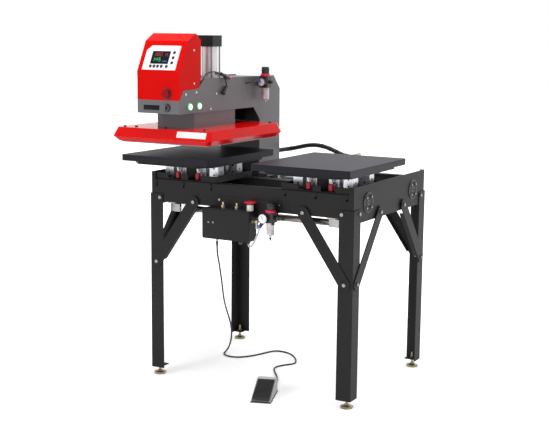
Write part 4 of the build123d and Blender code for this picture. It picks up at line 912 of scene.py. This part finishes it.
def sleeve(name, centre, direction, wide, narrow, length):
    """A tapered, ribbed sleeve where a cord leaves a gland."""
    pitch = length / SLEEVE_RIBS
    bore = narrow * SLEEVE_BORE
    start, end = GROOVE_SPAN
    profile = [(bore, 0), (wide, 0)]
    for step in range(SLEEVE_RIBS):
        radius = wide + (narrow - wide) * (step + 1) / SLEEVE_RIBS
        low = pitch * (step + RIB_FOOT)
        profile += [(radius, low), (radius - GROOVE_DEPTH, low + start * pitch),
                    (radius - GROOVE_DEPTH, low + end * pitch), (radius, pitch * (step + 1))]
    profile.append((bore, length))
    lathe(name, profile, centre, direction, BLACK_PLASTIC, "stand")


# Ties of the hose: the route's leg, and how far along it
TIES = ((3, 0.2), (6, 0.6), (7, 0.5), (8, 0.3), (8, 0.9), (9, 0.5))
TIE_PROFILE = [(9.2, -2), (10.6, -2), (10.6, 2), (9.2, 2)]
TIE_SIDES = 28


def dress_cords():
    """Sleeves at the ends of the cords, and ties round the air hose."""
    for entry in SLEEVES:
        sleeve(*entry)
    ties = bmesh.new()
    for leg, share in TIES:
        start, end = Vector(HOSE_ROUTE[leg]), Vector(HOSE_ROUTE[leg + 1])
        add_lathe(ties, TIE_PROFILE, start.lerp(end, share), end - start, TIE_SIDES)
    finish_mesh("hose_ties", ties, BLACK_PLASTIC, "stand")


# Screws of the support blocks: the rows' faces with the offsets from the station's middle
BLOCK_ROWS = ((-280, (-105, 105)), (-140, (-105, -46.5, 46.5, 105)))
BLOCK_SCREW = [(3.6, 0), (3.6, 0.4), (2, 0.5), (0, 0.5)]
BLOCK_SCREW_HEIGHTS = (856, 830)
END_SCREW = [(4.2, 0), (4.2, 0.4), (2.4, 0.5), (0, 0.5)]


def dress_stations():
    """Dark screws on the faces of the support blocks."""
    screws = bmesh.new()
    for station in (-STATION, STATION):
        for face, offsets in BLOCK_ROWS:
            for offset in offsets:
                for height in BLOCK_SCREW_HEIGHTS:
                    place = (station + offset, face, height)
                    add_lathe(screws, BLOCK_SCREW, place, FRONTWARD, SCREW_SIDES)
            add_lathe(screws, END_SCREW, (station + 125, face + 20, 842), RIGHTWARD, SCREW_SIDES)
    finish_mesh("block_screws", screws, BLACK_PLASTIC, "stand")


# Foot pedal

PEDAL_REAR = (70.0, -288.0)
PEDAL_TURN = math.radians(-70.6)
TREADLE_BACK = Vector((34.8, 0, 57))
TREADLE_TOE = Vector((157, 0, 20))
TREADLE_RIBS = range(14)
FIRST_RIB = 10
RIB_PITCH = 8.0


def pedal_frame():
    """The pedal's own frame: X from its rear to its toe, Z up."""
    return Matrix.Translation(at(*PEDAL_REAR, 0)) @ Matrix.Rotation(PEDAL_TURN, 4, "Z")


def dress_pedal():
    """Ribs on the treadle, a sole under the base, a light cap on the tower and a dark trim at the toe."""
    along = (TREADLE_TOE - TREADLE_BACK).normalized()
    across = Vector((0, 1, 0))
    slope = Matrix((along, across, along.cross(across))).transposed().to_4x4()
    place = pedal_frame() @ Matrix.Translation(TREADLE_BACK / MM_PER_METRE) @ slope
    ribs = bmesh.new()
    for step in TREADLE_RIBS:
        low = FIRST_RIB + RIB_PITCH * step
        add_block(ribs, (low, -30, -0.5), (low + 3.6, 30, 0.9), 0.5, place)
    finish_mesh("treadle_ribs", ribs, TREADLE, "pedal_treadle_body")
    block("pedal_sole", (-1, -40, 0.2), (160, 40, 3.4), TREADLE, "stand", 1.2, pedal_frame())
    block("pedal_cap", (3, -33, 56.6), (31, 33, 57.8), PEDAL_LIGHT, "stand", 0.5, pedal_frame())
    block("pedal_toe_trim", (149, -37.4, 1), (157.6, 37.4, 4.8), TREADLE, "stand", 0.6, pedal_frame())


def main():
    """Builds the scene: camera, cords, light and floor, then the looks and details of each part."""
    bpy.context.scene.view_settings.view_transform = "Standard"
    place_camera()
    free_cord("pedal_cable_line", CABLE_ROUTE, 3.5, "pedal_cable", CABLE)
    free_cord("air_hose_line", HOSE_ROUTE, 9.5, "air_hose", HOSE)
    light_studio()
    pale_floor()
    dress_nodes()
    dress_panel()
    dress_head()
    dress_cover()
    dress_regulators()
    dress_knobs()
    dress_cylinder()
    dress_bolts()
    dress_flanges()
    dress_feet()
    dress_trays()
    dress_box()
    dress_cords()
    dress_stations()
    dress_pedal()


main()
